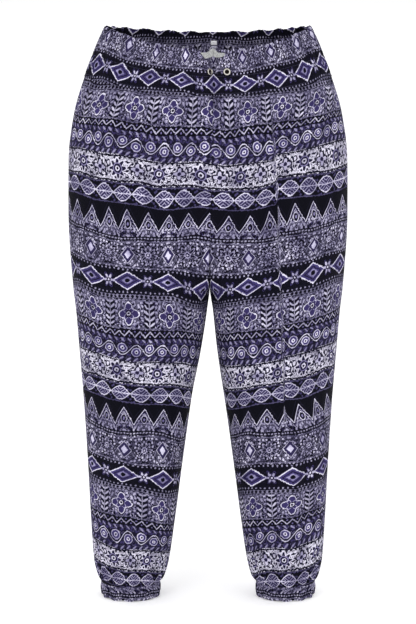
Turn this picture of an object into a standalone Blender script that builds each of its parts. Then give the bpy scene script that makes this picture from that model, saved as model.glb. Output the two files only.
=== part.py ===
"""Drop-crotch joggers in their worn, hollow form: four leg panels, a gathered waistband in two pieces,
two ankle cuffs, two eyelets, a knotted tape and two small tabs inside the back.

Metres, +Z up. The front faces -Y, and left and right are the wearer's, so the left leg is at +X. The
origin is the centre of the waist opening, half way up the waistband's sides, where the waist holds it.
"""
import math
from itertools import combinations

import bmesh
import bpy
import numpy as np
from mathutils import Matrix, Vector
from mathutils.bvhtree import BVHTree

FRONT = -1
BACK = 1
SIDES = ((-1, "right"), (1, "left"))

# ---------------------------------------------------------------- driving sizes
WALL = 0.0016                 # thickness of the single cloth of the legs
BAND_WALL = 0.0030            # folded casing with its elastic
BAND_PROUD = 0.0007           # how far the casing stands out past the legs' cloth
HALF_GAP = 0.00015            # half of the 0.3 mm between two pieces at a seam
WAIST_SEAM_GAP = 0.00043      # 0.3 mm where the facets of the waistband and the legs differ most
BAND_TOP = 0.043              # the waistband's top edge at the side seams
BAND_BOTTOM = -0.0435         # seam of waistband and legs at the side seams
CROTCH = -0.4155              # lowest point of the crotch seam
NOTCH_TOP = -0.250            # where the centre seams start to sink between the legs
LEG_BOTTOM = -0.9570          # seam of leg and cuff
CUFF_BOTTOM = -0.9835
SADDLE_REACH = 0.024          # how far the centre seam's saddle spreads over each leg
LOBE_POWER = 0.92             # 1 would be an ellipse, less is squarer
TORSO_POWER = 2.3

# One row for each level of the cloth. outer and inner are distances from the middle plane to the
# outside and the inside of the leg (inner is 0 above the crotch); front and back are depths from the
# side seam, which lies at seam_y; the drops say how far the cloth's middle hangs below its side seams
# at that level; seam_x is how far the centre seam is pulled over towards +X.
SECTION_COLUMNS = ("z", "outer", "inner", "front", "back", "seam_y", "front_drop", "back_drop", "seam_x")
SECTIONS = (
    (+0.0500, 0.1745, 0.0000, 0.0940, 0.1040, 0.000, 0.0390, 0.0120, 0.0095),
    (+0.0430, 0.1790, 0.0000, 0.0955, 0.1055, 0.000, 0.0390, 0.0120, 0.0095),
    (+0.0000, 0.1985, 0.0000, 0.1040, 0.1140, 0.000, 0.0350, 0.0110, 0.0093),
    (-0.0435, 0.2155, 0.0000, 0.1125, 0.1240, 0.000, 0.0300, 0.0100, 0.0090),
    (-0.1100, 0.2350, 0.0000, 0.1240, 0.1380, 0.000, 0.0170, 0.0070, 0.0075),
    (-0.1850, 0.2448, 0.0000, 0.1290, 0.1460, 0.000, 0.0050, 0.0020, 0.0060),
    (-0.2800, 0.2460, 0.0000, 0.1280, 0.1450, 0.000, 0.0000, 0.0000, 0.0040),
    (-0.4155, 0.2385, 0.0000, 0.1215, 0.1340, 0.002, 0.0000, 0.0000, 0.0030),
    (-0.4530, 0.2344, 0.0045, 0.1180, 0.1290, 0.003, 0.0000, 0.0000, 0.0035),
    (-0.5250, 0.2290, 0.0138, 0.1090, 0.1190, 0.005, 0.0000, 0.0000, 0.0020),
    (-0.6120, 0.2225, 0.0286, 0.0975, 0.1070, 0.007, 0.0000, 0.0000, 0.0000),
    (-0.7290, 0.2163, 0.0449, 0.0840, 0.0940, 0.012, 0.0000, 0.0000, 0.0000),
    (-0.8470, 0.2112, 0.0604, 0.0735, 0.0825, 0.018, 0.0000, 0.0000, 0.0000),
    (-0.9150, 0.2068, 0.0705, 0.0660, 0.0725, 0.021, 0.0000, 0.0000, 0.0000),
    (-0.9380, 0.2020, 0.0762, 0.0610, 0.0650, 0.022, 0.0000, 0.0000, 0.0000),
    (-0.9500, 0.1970, 0.0818, 0.0560, 0.0580, 0.022, 0.0000, 0.0000, 0.0000),
    (-0.9570, 0.1938, 0.0870, 0.0510, 0.0520, 0.022, 0.0000, 0.0000, 0.0000),
    (-0.9850, 0.1925, 0.0882, 0.0490, 0.0500, 0.022, 0.0000, 0.0000, 0.0000),
)

# The largest folds, each along a straight line on one face. x and z are where the line starts and ends
# as seen from the front; reach is the fold's half width; height is out of the cloth (a trough is < 0).
FOLD_COLUMNS = ("face", "x0", "z0", "x1", "z1", "reach", "height")
FOLDS = (
    (FRONT, -0.176, -0.020, -0.105, -0.150, 0.016, -0.0040),
    (FRONT, -0.200, -0.060, -0.150, -0.200, 0.018, 0.0040),
    (FRONT, +0.172, -0.020, +0.098, -0.160, 0.016, -0.0045),
    (FRONT, +0.205, -0.055, +0.158, -0.190, 0.018, 0.0040),
    (FRONT, +0.118, -0.090, +0.143, -0.640, 0.013, 0.0050),
    (FRONT, +0.098, -0.085, +0.124, -0.640, 0.011, -0.0050),
    (FRONT, -0.018, -0.385, -0.115, -0.290, 0.014, -0.0035),
    (FRONT, +0.022, -0.380, +0.090, -0.300, 0.013, -0.0035),
    (FRONT, -0.150, -0.440, -0.128, -0.760, 0.020, 0.0035),
    (FRONT, -0.085, -0.470, -0.102, -0.690, 0.016, -0.0030),
    (FRONT, +0.176, -0.700, +0.172, -0.890, 0.012, -0.0045),
    (FRONT, +0.155, -0.690, +0.152, -0.900, 0.014, 0.0040),
    (FRONT, -0.160, -0.845, -0.100, -0.890, 0.012, -0.0030),
    (BACK, +0.015, -0.375, +0.125, -0.285, 0.015, -0.0045),
    (BACK, -0.015, -0.380, -0.115, -0.300, 0.015, -0.0045),
    (BACK, +0.045, -0.455, +0.105, -0.640, 0.014, -0.0035),
    (BACK, -0.040, -0.450, -0.090, -0.660, 0.015, -0.0040),
    (BACK, +0.180, -0.060, +0.120, -0.200, 0.017, -0.0040),
    (BACK, -0.185, -0.055, -0.128, -0.210, 0.017, -0.0040),
    (BACK, -0.130, -0.480, -0.140, -0.780, 0.018, 0.0040),
    (BACK, +0.128, -0.500, +0.138, -0.800, 0.018, 0.0040),
    (BACK, +0.160, -0.560, +0.165, -0.760, 0.014, -0.0035),
)

# The waistband is drawn in to a sharp crease beside the eyelets.
CREASE_X = 0.0094
CREASE_HALF_WIDTH = 0.0125
CREASE_DEPTH = 0.0125
CREASE_FADE_TOP = -0.075      # the crease dies out below the waistband
CREASE_FADE_BOTTOM = -0.150

BAND_WAVE = 0.031             # spacing of the waistband's gathers along its length
BAND_WAVE_HEIGHT = 0.0020
BAND_EDGE_BUMP = 0.0026
FLAT_SPOTS = ((FRONT, 0.0100, 0.022), (BACK, 0.0107, 0.016))   # face, x, reach: not gathered there
CUFF_WAVES = 11
CUFF_WAVE_HEIGHT = 0.0016

PANEL_COLUMNS = 12            # divisions across a leg panel
BAND_COLUMNS = 56             # divisions along half of the waistband's round
BAND_ROWS = 4
CUFF_COLUMNS = 40
CUFF_ROWS = 3

EYELET_RADIUS = 0.0061
EYELET_HOLE = 0.0037
EYELET_RISE = 0.0012
EYELET_HEIGHT = -0.0325       # height of both eyelets' centres
EYELET_X = (("eyelet_right", 0.0034), ("eyelet_left", 0.0322))
EYELET_RECESS = 0.0012        # depth of the hole in the casing behind each eyelet
EYELET_STEPS = 28
CLEARANCE_SAMPLES = 41        # places tested along each edge of the casing under an eyelet

TAPE_WIDTH = 0.0105
TAPE_NECK = 0.0065                   # the tape's width where it leaves the knot
TAPE_THICK = 0.0014
TAPE_STEPS = 6
KNOT_SIZE = (0.0115, 0.0070, 0.0130)
KNOT_PLACE = (0.0088, -0.0022)       # x and height of the knot's middle
TAPE_END_LENGTH = 0.0165
TAPE_END_FALLS = (-0.30, -0.20)      # slope of the right and the left end
TIE_CLEAR = 0.00045                  # gap between the tie's pieces, and between its ends and the casing

LABEL_SIZE = (0.0110, 0.0075)
SIZE_TAB_SIZE = (0.0090, 0.0048)
TAB_THICK = 0.0010
LABEL_PLACE = (0.0105, 0.0113)
SIZE_TAB_PLACE = (0.0110, 0.0035)
TAB_CLEAR = 0.0004

# ---------------------------------------------------------------- materials
CLOTH_COLOUR = (0.100, 0.094, 0.145, 1.0)
MATERIALS = {
    # name: colour, roughness, metallic
    "print_cloth_front": (CLOTH_COLOUR, 0.85, 0.0),
    "print_cloth_back": ((0.090, 0.085, 0.135, 1.0), 0.85, 0.0),
    "print_casing": ((0.120, 0.110, 0.180, 1.0), 0.85, 0.0),
    "eyelet_metal": ((0.62, 0.58, 0.46, 1.0), 0.32, 1.0),
    "cotton_tape": ((0.55, 0.55, 0.49, 1.0), 0.90, 0.0),
    "label_satin": ((0.86, 0.86, 0.88, 1.0), 0.55, 0.0),
}


def material(name):
    """Return the Principled material of that name, made on its first use."""
    found = bpy.data.materials.get(name)
    if found:
        return found
    colour, roughness, metallic = MATERIALS[name]
    made = bpy.data.materials.new(name)
    made.use_nodes = True
    shader = made.node_tree.nodes["Principled BSDF"]
    shader.inputs["Base Color"].default_value = colour
    shader.inputs["Roughness"].default_value = roughness
    shader.inputs["Metallic"].default_value = metallic
    return made


# ---------------------------------------------------------------- the cloth's form
def smooth_step(value):
    """0 below 0, 1 above 1, and a smooth rise between."""
    value = np.clip(value, 0.0, 1.0)
    return value * value * (3.0 - 2.0 * value)


def monotone_slopes(places, values):
    """Slopes of a curve through the values that never overshoots them."""
    steps = np.diff(places)
    rises = np.diff(values) / steps
    slopes = np.zeros(len(places))
    slopes[0] = rises[0]
    slopes[-1] = rises[-1]
    for i in range(1, len(places) - 1):
        if rises[i - 1] * rises[i] > 0.0:
            before = 2.0 * steps[i] + steps[i - 1]
            after = steps[i] + 2.0 * steps[i - 1]
            slopes[i] = (before + after) / (before / rises[i - 1] + after / rises[i])
    return slopes


def make_reader():
    """Return a function that reads a column of SECTIONS at any height."""
    table = np.array(SECTIONS)[::-1]
    heights = table[:, 0]
    slopes = {
        name: monotone_slopes(heights, table[:, k])
        for k, name in enumerate(SECTION_COLUMNS)
        if k
    }

    def read(name, z):
        z = np.clip(np.asarray(z, dtype=float), heights[0], heights[-1])
        values = table[:, SECTION_COLUMNS.index(name)]
        row = np.clip(np.searchsorted(heights, z) - 1, 0, len(heights) - 2)
        step = heights[row + 1] - heights[row]
        t = (z - heights[row]) / step
        low, high = values[row], values[row + 1]
        slope_low = slopes[name][row] * step
        slope_high = slopes[name][row + 1] * step
        square, cube = t * t, t * t * t
        return (
            (2 * cube - 3 * square + 1) * low
            + (cube - 2 * square + t) * slope_low
            + (3 * square - 2 * cube) * high
            + (cube - square) * slope_high
        )

    return read


section = make_reader()


def fold_height(face, x, z):
    """Height of the large folds at a place of one face, seen from the front."""
    total = np.zeros(np.broadcast(x, z).shape)
    for fold in FOLDS:
        row = dict(zip(FOLD_COLUMNS, fold))
        if row["face"] != face:
            continue
        along = np.array((row["x1"] - row["x0"], row["z1"] - row["z0"]))
        length = np.hypot(*along)
        t = ((x - row["x0"]) * along[0] + (z - row["z0"]) * along[1]) / length**2
        off = ((x - row["x0"]) * along[1] - (z - row["z0"]) * along[0]) / length
        ends = smooth_step((t + 0.12) / 0.30) * smooth_step((1.12 - t) / 0.30)
        total = total + row["height"] * ends * np.exp(-((off / row["reach"]) ** 2))
    return total


def crease_height(x, z):
    """Depth of the drawn-in crease at the centre front, as a negative height."""
    climb = np.clip(1.0 - np.abs(x - CREASE_X) / CREASE_HALF_WIDTH, 0.0, None)
    profile = climb**2 / (climb + 0.12) * 1.12
    fade = smooth_step((z - CREASE_FADE_BOTTOM) / (CREASE_FADE_TOP - CREASE_FADE_BOTTOM))
    return -CREASE_DEPTH * profile * fade


def smooth_form(face, side, u, z_row, inset):
    """Points of the cloth without folds. u runs from the centre seam or inseam (0) to the side seam (1)."""
    outer = section("outer", z_row) - inset
    depth = section("front" if face == FRONT else "back", z_row) - inset
    drop = section("front_drop" if face == FRONT else "back_drop", z_row)
    sunk = np.clip((NOTCH_TOP - z_row) / (NOTCH_TOP - CROTCH), 0.0, 1.0)
    share = smooth_step(sunk)
    inner = section("inner", z_row) + HALF_GAP + inset * share
    middle = (outer + inner) / 2.0
    radius = (outer - inner) / 2.0
    x = middle - radius * np.cos(math.pi * u)
    ratio = np.clip(x / outer, 0.0, 1.0)
    torso = np.sqrt(np.clip(1.0 - ratio**TORSO_POWER, 0.0, 1.0))
    lobe = np.clip(np.sin(math.pi * u), 0.0, 1.0) ** LOBE_POWER
    body = (1.0 - share) * torso + share * lobe
    # the centre seam itself runs down and under in a quarter of an ellipse
    seam = 1.0 - (1.0 - np.sqrt(np.clip(1.0 - sunk * sunk, 0.0, 1.0))) / np.maximum(share, 1e-9)
    seam = np.where(share > 1e-6, seam, 0.0) * np.exp(-((x / SADDLE_REACH) ** 2))
    reach = depth * (1.0 - (1.0 - body) * (1.0 - seam))
    y = section("seam_y", z_row) + face * (reach + HALF_GAP)
    below = np.clip((CROTCH - z_row) / 0.03, 0.0, None)
    z = z_row - drop * (1.0 - ratio**2) + inset * sunk * np.exp(-below)
    x = side * x + section("seam_x", z_row) * (1.0 - ratio**2)
    return np.stack(np.broadcast_arrays(x, y, z), axis=-1)


def outward(face, side, u, z_row):
    """Level unit directions out of the cloth's smooth form, so that no fold lifts or lowers a seam."""
    small = 1e-3
    low, high = np.clip(u - small, 0.0, 1.0), np.clip(u + small, 0.0, 1.0)
    across = smooth_form(face, side, high, z_row, 0.0) - smooth_form(face, side, low, z_row, 0.0)
    down = smooth_form(face, side, u, z_row - small, 0.0) - smooth_form(face, side, u, z_row + small, 0.0)
    normal = np.cross(across, down)
    normal[..., 2] = 0.0
    normal /= np.maximum(np.linalg.norm(normal, axis=-1, keepdims=True), 1e-12)
    facing = np.sign(normal[..., 1] * face)
    return normal * np.where(facing == 0.0, 1.0, facing)[..., None]


def leg_point(face, side, u, z_row, inset):
    """Points of a leg panel with its folds."""
    u, z_row = np.broadcast_arrays(np.asarray(u, dtype=float), np.asarray(z_row, dtype=float))
    points = smooth_form(face, side, u, z_row, inset)
    x, z = points[..., 0], points[..., 2]
    height = fold_height(face, x, z) * smooth_step((1.0 - u) / 0.15)
    if face == FRONT:
        height = height + crease_height(x, z)
    in_notch = smooth_step((NOTCH_TOP - z_row) / 0.06)
    height = height * (1.0 - in_notch * (1.0 - smooth_step(u / 0.18)))
    height = height * smooth_step((z_row - LEG_BOTTOM) / 0.03)
    return points + outward(face, side, u, z_row) * height[..., None]


def band_point(face, across, z_row, inset):
    """Points of the waistband. across runs from -1 at one side seam to 1 at the other."""
    across, z_row = np.broadcast_arrays(np.asarray(across, dtype=float), np.asarray(z_row, dtype=float))
    side = np.where(across < 0.0, -1.0, 1.0)
    outer = section("outer", z_row)
    u = np.arccos(np.clip(1.0 - 2.0 * np.sin(math.pi * np.abs(across) / 2.0), -1.0, 1.0)) / math.pi
    points = smooth_form(face, side, u, z_row, inset - BAND_PROUD)
    normal = outward(face, side, u, z_row)
    run = across * outer * 1.15
    wave = np.cos(2.0 * math.pi * run / BAND_WAVE + 0.9 * np.sin(9.0 * across + face))
    level = (z_row - BAND_BOTTOM) / (BAND_TOP - BAND_BOTTOM)
    ends = smooth_step((1.0 - np.abs(across)) / 0.12)
    for flat_face, flat_x, reach in FLAT_SPOTS:
        if flat_face == face:
            wave = wave * smooth_step(np.abs(points[..., 0] - flat_x) / reach - 0.6)
    height = BAND_WAVE_HEIGHT * wave * ends * (0.25 + 0.75 * level)
    if face == FRONT:
        height = height + crease_height(points[..., 0], points[..., 2])
    points = points + normal * height[..., None]
    points[..., 2] += BAND_EDGE_BUMP * wave * ends * smooth_step((level - 0.75) / 0.25)
    return points


def cuff_point(side, turn, level, inset):
    """Points of a cuff. turn runs once round it from 0 to 1, level from 0 at its top to 1 at its hem."""
    z = LEG_BOTTOM - 2.0 * HALF_GAP + (CUFF_BOTTOM - LEG_BOTTOM) * level
    outer, inner = section("outer", z), section("inner", z)
    angle = 2.0 * math.pi * turn
    wave = np.cos(CUFF_WAVES * angle + 0.8 * np.sin(2.0 * angle)) * CUFF_WAVE_HEIGHT
    puff = 0.0012 * np.sin(math.pi * level)
    grow = wave * (0.45 + 0.55 * level) + puff - inset
    x = (outer + inner) / 2.0 + ((outer - inner) / 2.0 + grow) * np.cos(angle)
    depth = np.where(np.sin(angle) < 0.0, section("front", z), section("back", z))
    y = section("seam_y", z) + (depth + grow) * np.sin(angle)
    z = z + 0.0012 * np.cos(CUFF_WAVES * angle + 1.0) * level
    return np.stack(np.broadcast_arrays(side * x, y, z), axis=-1)


# ---------------------------------------------------------------- meshes and objects
def add_object(name, mesh, material_name, collection):
    """Put a mesh in the scene as one named piece."""
    mesh.materials.append(material(material_name))
    piece = bpy.data.objects.new(name, mesh)
    collection.objects.link(piece)
    return piece


def finish_mesh(name, work):
    """Turn the working mesh's faces outwards, shade it smooth and return it."""
    bmesh.ops.recalc_face_normals(work, faces=work.faces)
    mesh = bpy.data.meshes.new(name)
    work.to_mesh(mesh)
    work.free()
    mesh.shade_smooth()
    mesh.set_sharp_from_angle(angle=math.radians(50.0))
    return mesh


def wall_mesh(name, outer_grid, inner_grid, closed_round=False):
    """A cloth wall between two grids of points [row][column]; closed_round joins the last column to the first."""
    work = bmesh.new()
    rows, columns = outer_grid.shape[:2]
    grids = [
        [[work.verts.new(point) for point in line] for line in grid]
        for grid in (outer_grid, inner_grid)
    ]
    spans = columns if closed_round else columns - 1
    for grid in grids:
        for i in range(rows - 1):
            for j in range(spans):
                k = (j + 1) % columns
                work.faces.new((grid[i][j], grid[i][k], grid[i + 1][k], grid[i + 1][j]))
    outer, inner = grids
    for i in (0, rows - 1):
        for j in range(spans):
            k = (j + 1) % columns
            work.faces.new((outer[i][j], outer[i][k], inner[i][k], inner[i][j]))
    if not closed_round:
        for j in (0, columns - 1):
            for i in range(rows - 1):
                work.faces.new((outer[i][j], outer[i + 1][j], inner[i + 1][j], inner[i][j]))
    return finish_mesh(name, work)


def leg_rows():
    """Heights of a leg panel's rows, close together where the crotch and the cuff turn sharply."""
    top = np.linspace(BAND_BOTTOM - WAIST_SEAM_GAP, NOTCH_TOP, 7)
    notch = NOTCH_TOP - (NOTCH_TOP - CROTCH) * np.sin(np.linspace(0.0, math.pi / 2.0, 8))
    thigh = CROTCH + (LEG_BOTTOM + 0.10 - CROTCH) * np.linspace(0.0, 1.0, 10) ** 1.15
    ankle = LEG_BOTTOM + 0.10 * (1.0 - np.sin(np.linspace(0.0, math.pi / 2.0, 6)))
    return np.concatenate((top, notch[1:], thigh[1:], ankle[1:]))


def build_leg_panels(collection):
    """The four panels, from the waist seam to the cuff seam."""
    rows = leg_rows()[:, None]
    across = np.linspace(0.0, 1.0, PANEL_COLUMNS + 1)[None, :]
    for face, face_name in ((FRONT, "front"), (BACK, "back")):
        for side, side_name in SIDES:
            name = f"{face_name}_{side_name}"
            outer_grid = leg_point(face, side, across, rows, 0.0)
            inner_grid = leg_point(face, side, across, rows, WALL)
            mesh = wall_mesh(name, outer_grid, inner_grid)
            add_object(name, mesh, f"print_cloth_{face_name}", collection)


def band_columns(face):
    """Places along the waistband, with extra ones that follow the crease at the front."""
    even = np.linspace(-1.0, 1.0, BAND_COLUMNS + 1)
    if face == BACK:
        return even
    outer = float(section("outer", 0.0))
    crease = CREASE_X - float(section("seam_x", 0.0))
    near = crease + CREASE_HALF_WIDTH * np.array((-1.15, -0.75, -0.35, 0.0, 0.35, 0.75, 1.15))
    places = 2.0 / math.pi * np.arcsin(near / outer)
    keep = [v for v in even if v < places[0] - 0.02 or v > places[-1] + 0.02]
    return np.sort(np.concatenate((keep, places)))


def build_waistband(collection):
    """Front and back of the gathered casing, 0.3 mm apart at the side seams."""
    rows = np.linspace(BAND_TOP, BAND_BOTTOM, BAND_ROWS + 1)[:, None]
    pieces = {}
    for face, name in ((FRONT, "waistband_front"), (BACK, "waistband_back")):
        columns = band_columns(face)[None, :]
        outer_grid = band_point(face, columns, rows, 0.0)
        inner_grid = band_point(face, columns, rows, BAND_WALL)
        pieces[name] = add_object(name, wall_mesh(name, outer_grid, inner_grid), "print_casing", collection)
    return pieces


def build_cuffs(collection):
    """Both ankle cuffs, each a gathered ring."""
    turn = np.linspace(0.0, 1.0, CUFF_COLUMNS, endpoint=False)[None, :]
    level = np.linspace(0.0, 1.0, CUFF_ROWS + 1)[:, None]
    for side, side_name in SIDES:
        name = f"cuff_{side_name}"
        outer_grid = cuff_point(side, turn, level, 0.0)
        inner_grid = cuff_point(side, turn, level, BAND_WALL * 0.8)
        add_object(name, wall_mesh(name, outer_grid, inner_grid, closed_round=True), "print_casing", collection)


def band_place(x, z, face, inset):
    """The point of the waistband at a place seen from the front, with its direction outwards."""
    across, level = 0.0, 0.0
    for _ in range(40):
        point = band_point(face, across, level, inset)
        across = float(np.clip(across + (x - point[0]) / 0.31, -1.0, 1.0))
        level = float(level + (z - point[2]) * 0.8)
    step = 0.004
    along = band_point(face, across + step, level, inset) - band_point(face, across - step, level, inset)
    down = band_point(face, across, level - step, inset) - band_point(face, across, level + step, inset)
    normal = np.cross(along, down)
    normal /= np.linalg.norm(normal)
    if normal[1] * face < 0.0:
        normal = -normal
    return Vector(band_point(face, across, level, inset)), Vector(normal)


def frame_on(point, normal):
    """A matrix at the point whose Z is the direction out of the cloth and whose Y is up along it."""
    up = (Vector((0.0, 0.0, 1.0)) - normal * normal.z).normalized()
    right = up.cross(normal)
    turn = Matrix((right, up, normal)).transposed().to_4x4()
    return Matrix.Translation(point) @ turn


def build_eyelets(collection, cutters, band):
    """Two rolled metal rings, each over a shallow hole in the casing."""
    middle = (EYELET_RADIUS + EYELET_HOLE) / 2.0
    half = (EYELET_RADIUS - EYELET_HOLE) / 2.0
    profile = [
        (middle + half * math.cos(a), EYELET_RISE * math.sin(a))
        for a in np.linspace(0.0, math.pi, 7)
    ]
    for name, x in EYELET_X:
        point, normal = band_place(x, EYELET_HEIGHT, FRONT, 0.0)
        seat = frame_on(point, normal)
        lift = ring_clearance(seat, band)
        work = bmesh.new()
        corners = [work.verts.new((r, 0.0, z)) for r, z in profile]
        for first, second in zip(corners, corners[1:] + corners[:1]):
            work.edges.new((first, second))
        bmesh.ops.spin(
            work,
            geom=work.verts[:] + work.edges[:],
            cent=(0.0, 0.0, 0.0),
            axis=(0.0, 0.0, 1.0),
            angle=2.0 * math.pi,
            steps=EYELET_STEPS,
            use_merge=True,
        )
        bmesh.ops.remove_doubles(work, verts=work.verts, dist=1e-6)
        ring = add_object(name, finish_mesh(name, work), "eyelet_metal", collection)
        ring.matrix_world = seat @ Matrix.Translation((0.0, 0.0, lift))

        bpy.ops.mesh.primitive_cylinder_add(vertices=20, radius=EYELET_HOLE * 0.97, depth=2.0 * EYELET_RECESS)
        cutter = bpy.context.object
        cutter.name = f"{name}_hole"
        cutter.matrix_world = seat
        cutter.hide_render = True
        cutter.display_type = "WIRE"
        for home in list(cutter.users_collection):
            home.objects.unlink(cutter)
        cutters.objects.link(cutter)
        cut = band.modifiers.new(f"{name}_hole", "BOOLEAN")
        cut.operation = "DIFFERENCE"
        cut.solver = "EXACT"
        cut.object = cutter


def ring_clearance(seat, band):
    """How far a ring has to stand off its seat to clear the casing's faces by 0.3 mm."""
    work = bmesh.new()
    work.from_mesh(band.data)
    to_seat = seat.inverted()
    highest = 0.0
    for face in work.faces:
        corners = [to_seat @ vert.co for vert in face.verts]
        for first, second in combinations(corners, 2):
            for t in np.linspace(0.0, 1.0, CLEARANCE_SAMPLES):
                spot = first.lerp(second, t)
                if spot.xy.length < EYELET_RADIUS * 1.05 and abs(spot.z) < 0.006:
                    highest = max(highest, spot.z)
    work.free()
    return highest + 2.0 * HALF_GAP


def room_behind(piece, wall):
    """How far one mesh can move towards +Y before it meets another."""
    piece_tree, wall_tree = (
        BVHTree.FromPolygons(
            [vert.co for vert in mesh.vertices],
            [tuple(face.vertices) for face in mesh.polygons],
        )
        for mesh in (piece, wall)
    )
    back = Vector((0.0, 1.0, 0.0))
    hits = [wall_tree.ray_cast(vert.co, back) for vert in piece.vertices]
    hits += [piece_tree.ray_cast(vert.co, -back) for vert in wall.vertices]
    return min(distance for _, _, _, distance in hits if distance is not None)


def tape_end(name, side, fall, band):
    """A flat tape from the knot's side over the crest beside the crease; returns its mesh and its neck."""
    x, z = KNOT_PLACE
    along = Vector((side, 0.0, fall)).normalized()
    grids = ([], [])
    for t in np.linspace(0.0, 1.0, TAPE_STEPS):
        spot = Vector((x, 0.0, z)) + along * (KNOT_SIZE[0] / 2.0 + TIE_CLEAR + TAPE_END_LENGTH * t)
        beside = CREASE_X + side * max(CREASE_HALF_WIDTH, side * (spot.x - CREASE_X))
        crest, normal = band_place(beside, spot.z, FRONT, 0.0)
        spot.y = crest.y - 0.004
        across = normal.cross(along).normalized()
        width = TAPE_NECK + (TAPE_WIDTH - TAPE_NECK) * min(1.0, 2.5 * t)
        for grid, height in zip(grids, (TAPE_THICK, 0.0)):
            grid.append([spot + across * (width * k) + normal * height for k in (-0.5, 0.0, 0.5)])
    mesh = wall_mesh(name, np.array(grids[0]), np.array(grids[1]))
    travel = room_behind(mesh, band.data) - TIE_CLEAR
    mesh.transform(Matrix.Translation((0.0, travel, 0.0)))
    return mesh, (grids[0][0][1].y + grids[1][0][1].y) / 2.0 + travel


def build_tie(collection, band):
    """The tape's two ends, laid on the casing, and its knot between them over the crease."""
    necks = []
    for (side, side_name), fall in zip(SIDES, TAPE_END_FALLS):
        name = f"tie_end_{side_name}"
        mesh, neck = tape_end(name, side, fall, band)
        add_object(name, mesh, "cotton_tape", collection)
        necks.append(neck)

    bpy.ops.mesh.primitive_uv_sphere_add(segments=16, ring_count=10, radius=0.5)
    knot = bpy.context.object
    knot.name = "tie_knot"
    centre = Vector((KNOT_PLACE[0], sum(necks) / 2.0, KNOT_PLACE[1]))
    knot.data.transform(Matrix.Translation(centre) @ Matrix.Diagonal((*KNOT_SIZE, 1.0)))
    knot.data.materials.append(material("cotton_tape"))
    knot.data.shade_smooth()
    for home in list(knot.users_collection):
        home.objects.unlink(knot)
    collection.objects.link(knot)


def build_tab(collection, name, size, place):
    """A small tab that lies on the inside of the back waistband, made from the casing's own points."""
    x, z = place
    width, height = size
    grids = []
    for lift in (TAB_CLEAR, TAB_CLEAR + TAB_THICK):
        grid = []
        for down in np.linspace(0.5, -0.5, 3):
            line = []
            for across in np.linspace(-0.5, 0.5, 6):
                point, normal = band_place(x + across * width, z + down * height, BACK, BAND_WALL)
                line.append(point - normal * lift)
            grid.append(line)
        grids.append(np.array(grid))
    add_object(name, wall_mesh(name, grids[1], grids[0]), "label_satin", collection)


def main():
    for old in list(bpy.data.objects):
        bpy.data.objects.remove(old, do_unlink=True)
    garment = bpy.data.collections.new("printed_joggers")
    cutters = bpy.data.collections.new("cutters")
    for collection in (garment, cutters):
        bpy.context.scene.collection.children.link(collection)
    build_leg_panels(garment)
    band = build_waistband(garment)
    build_cuffs(garment)
    build_eyelets(garment, cutters, band["waistband_front"])
    build_tie(garment, band["waistband_front"])
    build_tab(garment, "label", LABEL_SIZE, LABEL_PLACE)
    build_tab(garment, "size_tab", SIZE_TAB_SIZE, SIZE_TAB_PLACE)


main()
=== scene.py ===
"""The look of the drop-crotch joggers: fine cloth shells with folds and gathers, a banded print made of
shader nodes, metal eyelets, a tape tie and blank tabs, standing on a pale floor in soft light.

Metres, +Z up. The front faces -Y, and left and right are the wearer's, so the left leg is at +X.
"""
import math
from functools import partialmethod

import bmesh
import bpy
import numpy as np
from mathutils import Matrix, Vector


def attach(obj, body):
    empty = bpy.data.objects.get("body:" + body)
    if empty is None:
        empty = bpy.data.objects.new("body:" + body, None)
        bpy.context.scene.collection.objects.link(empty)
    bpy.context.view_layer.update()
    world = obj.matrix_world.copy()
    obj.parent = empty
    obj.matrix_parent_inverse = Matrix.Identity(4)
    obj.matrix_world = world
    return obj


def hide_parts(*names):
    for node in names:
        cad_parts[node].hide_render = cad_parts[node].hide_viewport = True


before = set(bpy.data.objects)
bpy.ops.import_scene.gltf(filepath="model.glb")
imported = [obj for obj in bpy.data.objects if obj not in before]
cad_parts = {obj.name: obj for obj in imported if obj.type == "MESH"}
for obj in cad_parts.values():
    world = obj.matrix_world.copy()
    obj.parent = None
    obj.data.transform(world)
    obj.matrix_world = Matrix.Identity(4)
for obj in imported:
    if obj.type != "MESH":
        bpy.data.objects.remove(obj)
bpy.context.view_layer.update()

MM = 0.001  # the tables of sections, folds, knot and tape are in millimetres
TURN = 2 * math.pi
FRONT, BACK = -1, 1
FACES = {FRONT: "front", BACK: "back"}
SIDES = {-1: "right", 1: "left"}

# ---- the form, as in the solids
WALL = 0.0016
BAND_WALL = 0.003
CUFF_WALL = 0.0024
BAND_PROUD = 0.0007
HALF_GAP = 0.00002  # seams are shut here
BAND_TOP = 0.043
BAND_BOTTOM = -0.0435
CROTCH = -0.4155
NOTCH_TOP = -0.25  # from here down to the crotch, the torso parts into two legs
LEG_BOTTOM = -0.957
CUFF_BOTTOM = -0.9835
CUFF_HEIGHT = LEG_BOTTOM - CUFF_BOTTOM
SADDLE_REACH = 0.024
LOBE_POWER = 0.92
TORSO_POWER = 2.3
NUDGE = 0.001  # step in u and in height that a direction out of the cloth is worked out over

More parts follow.
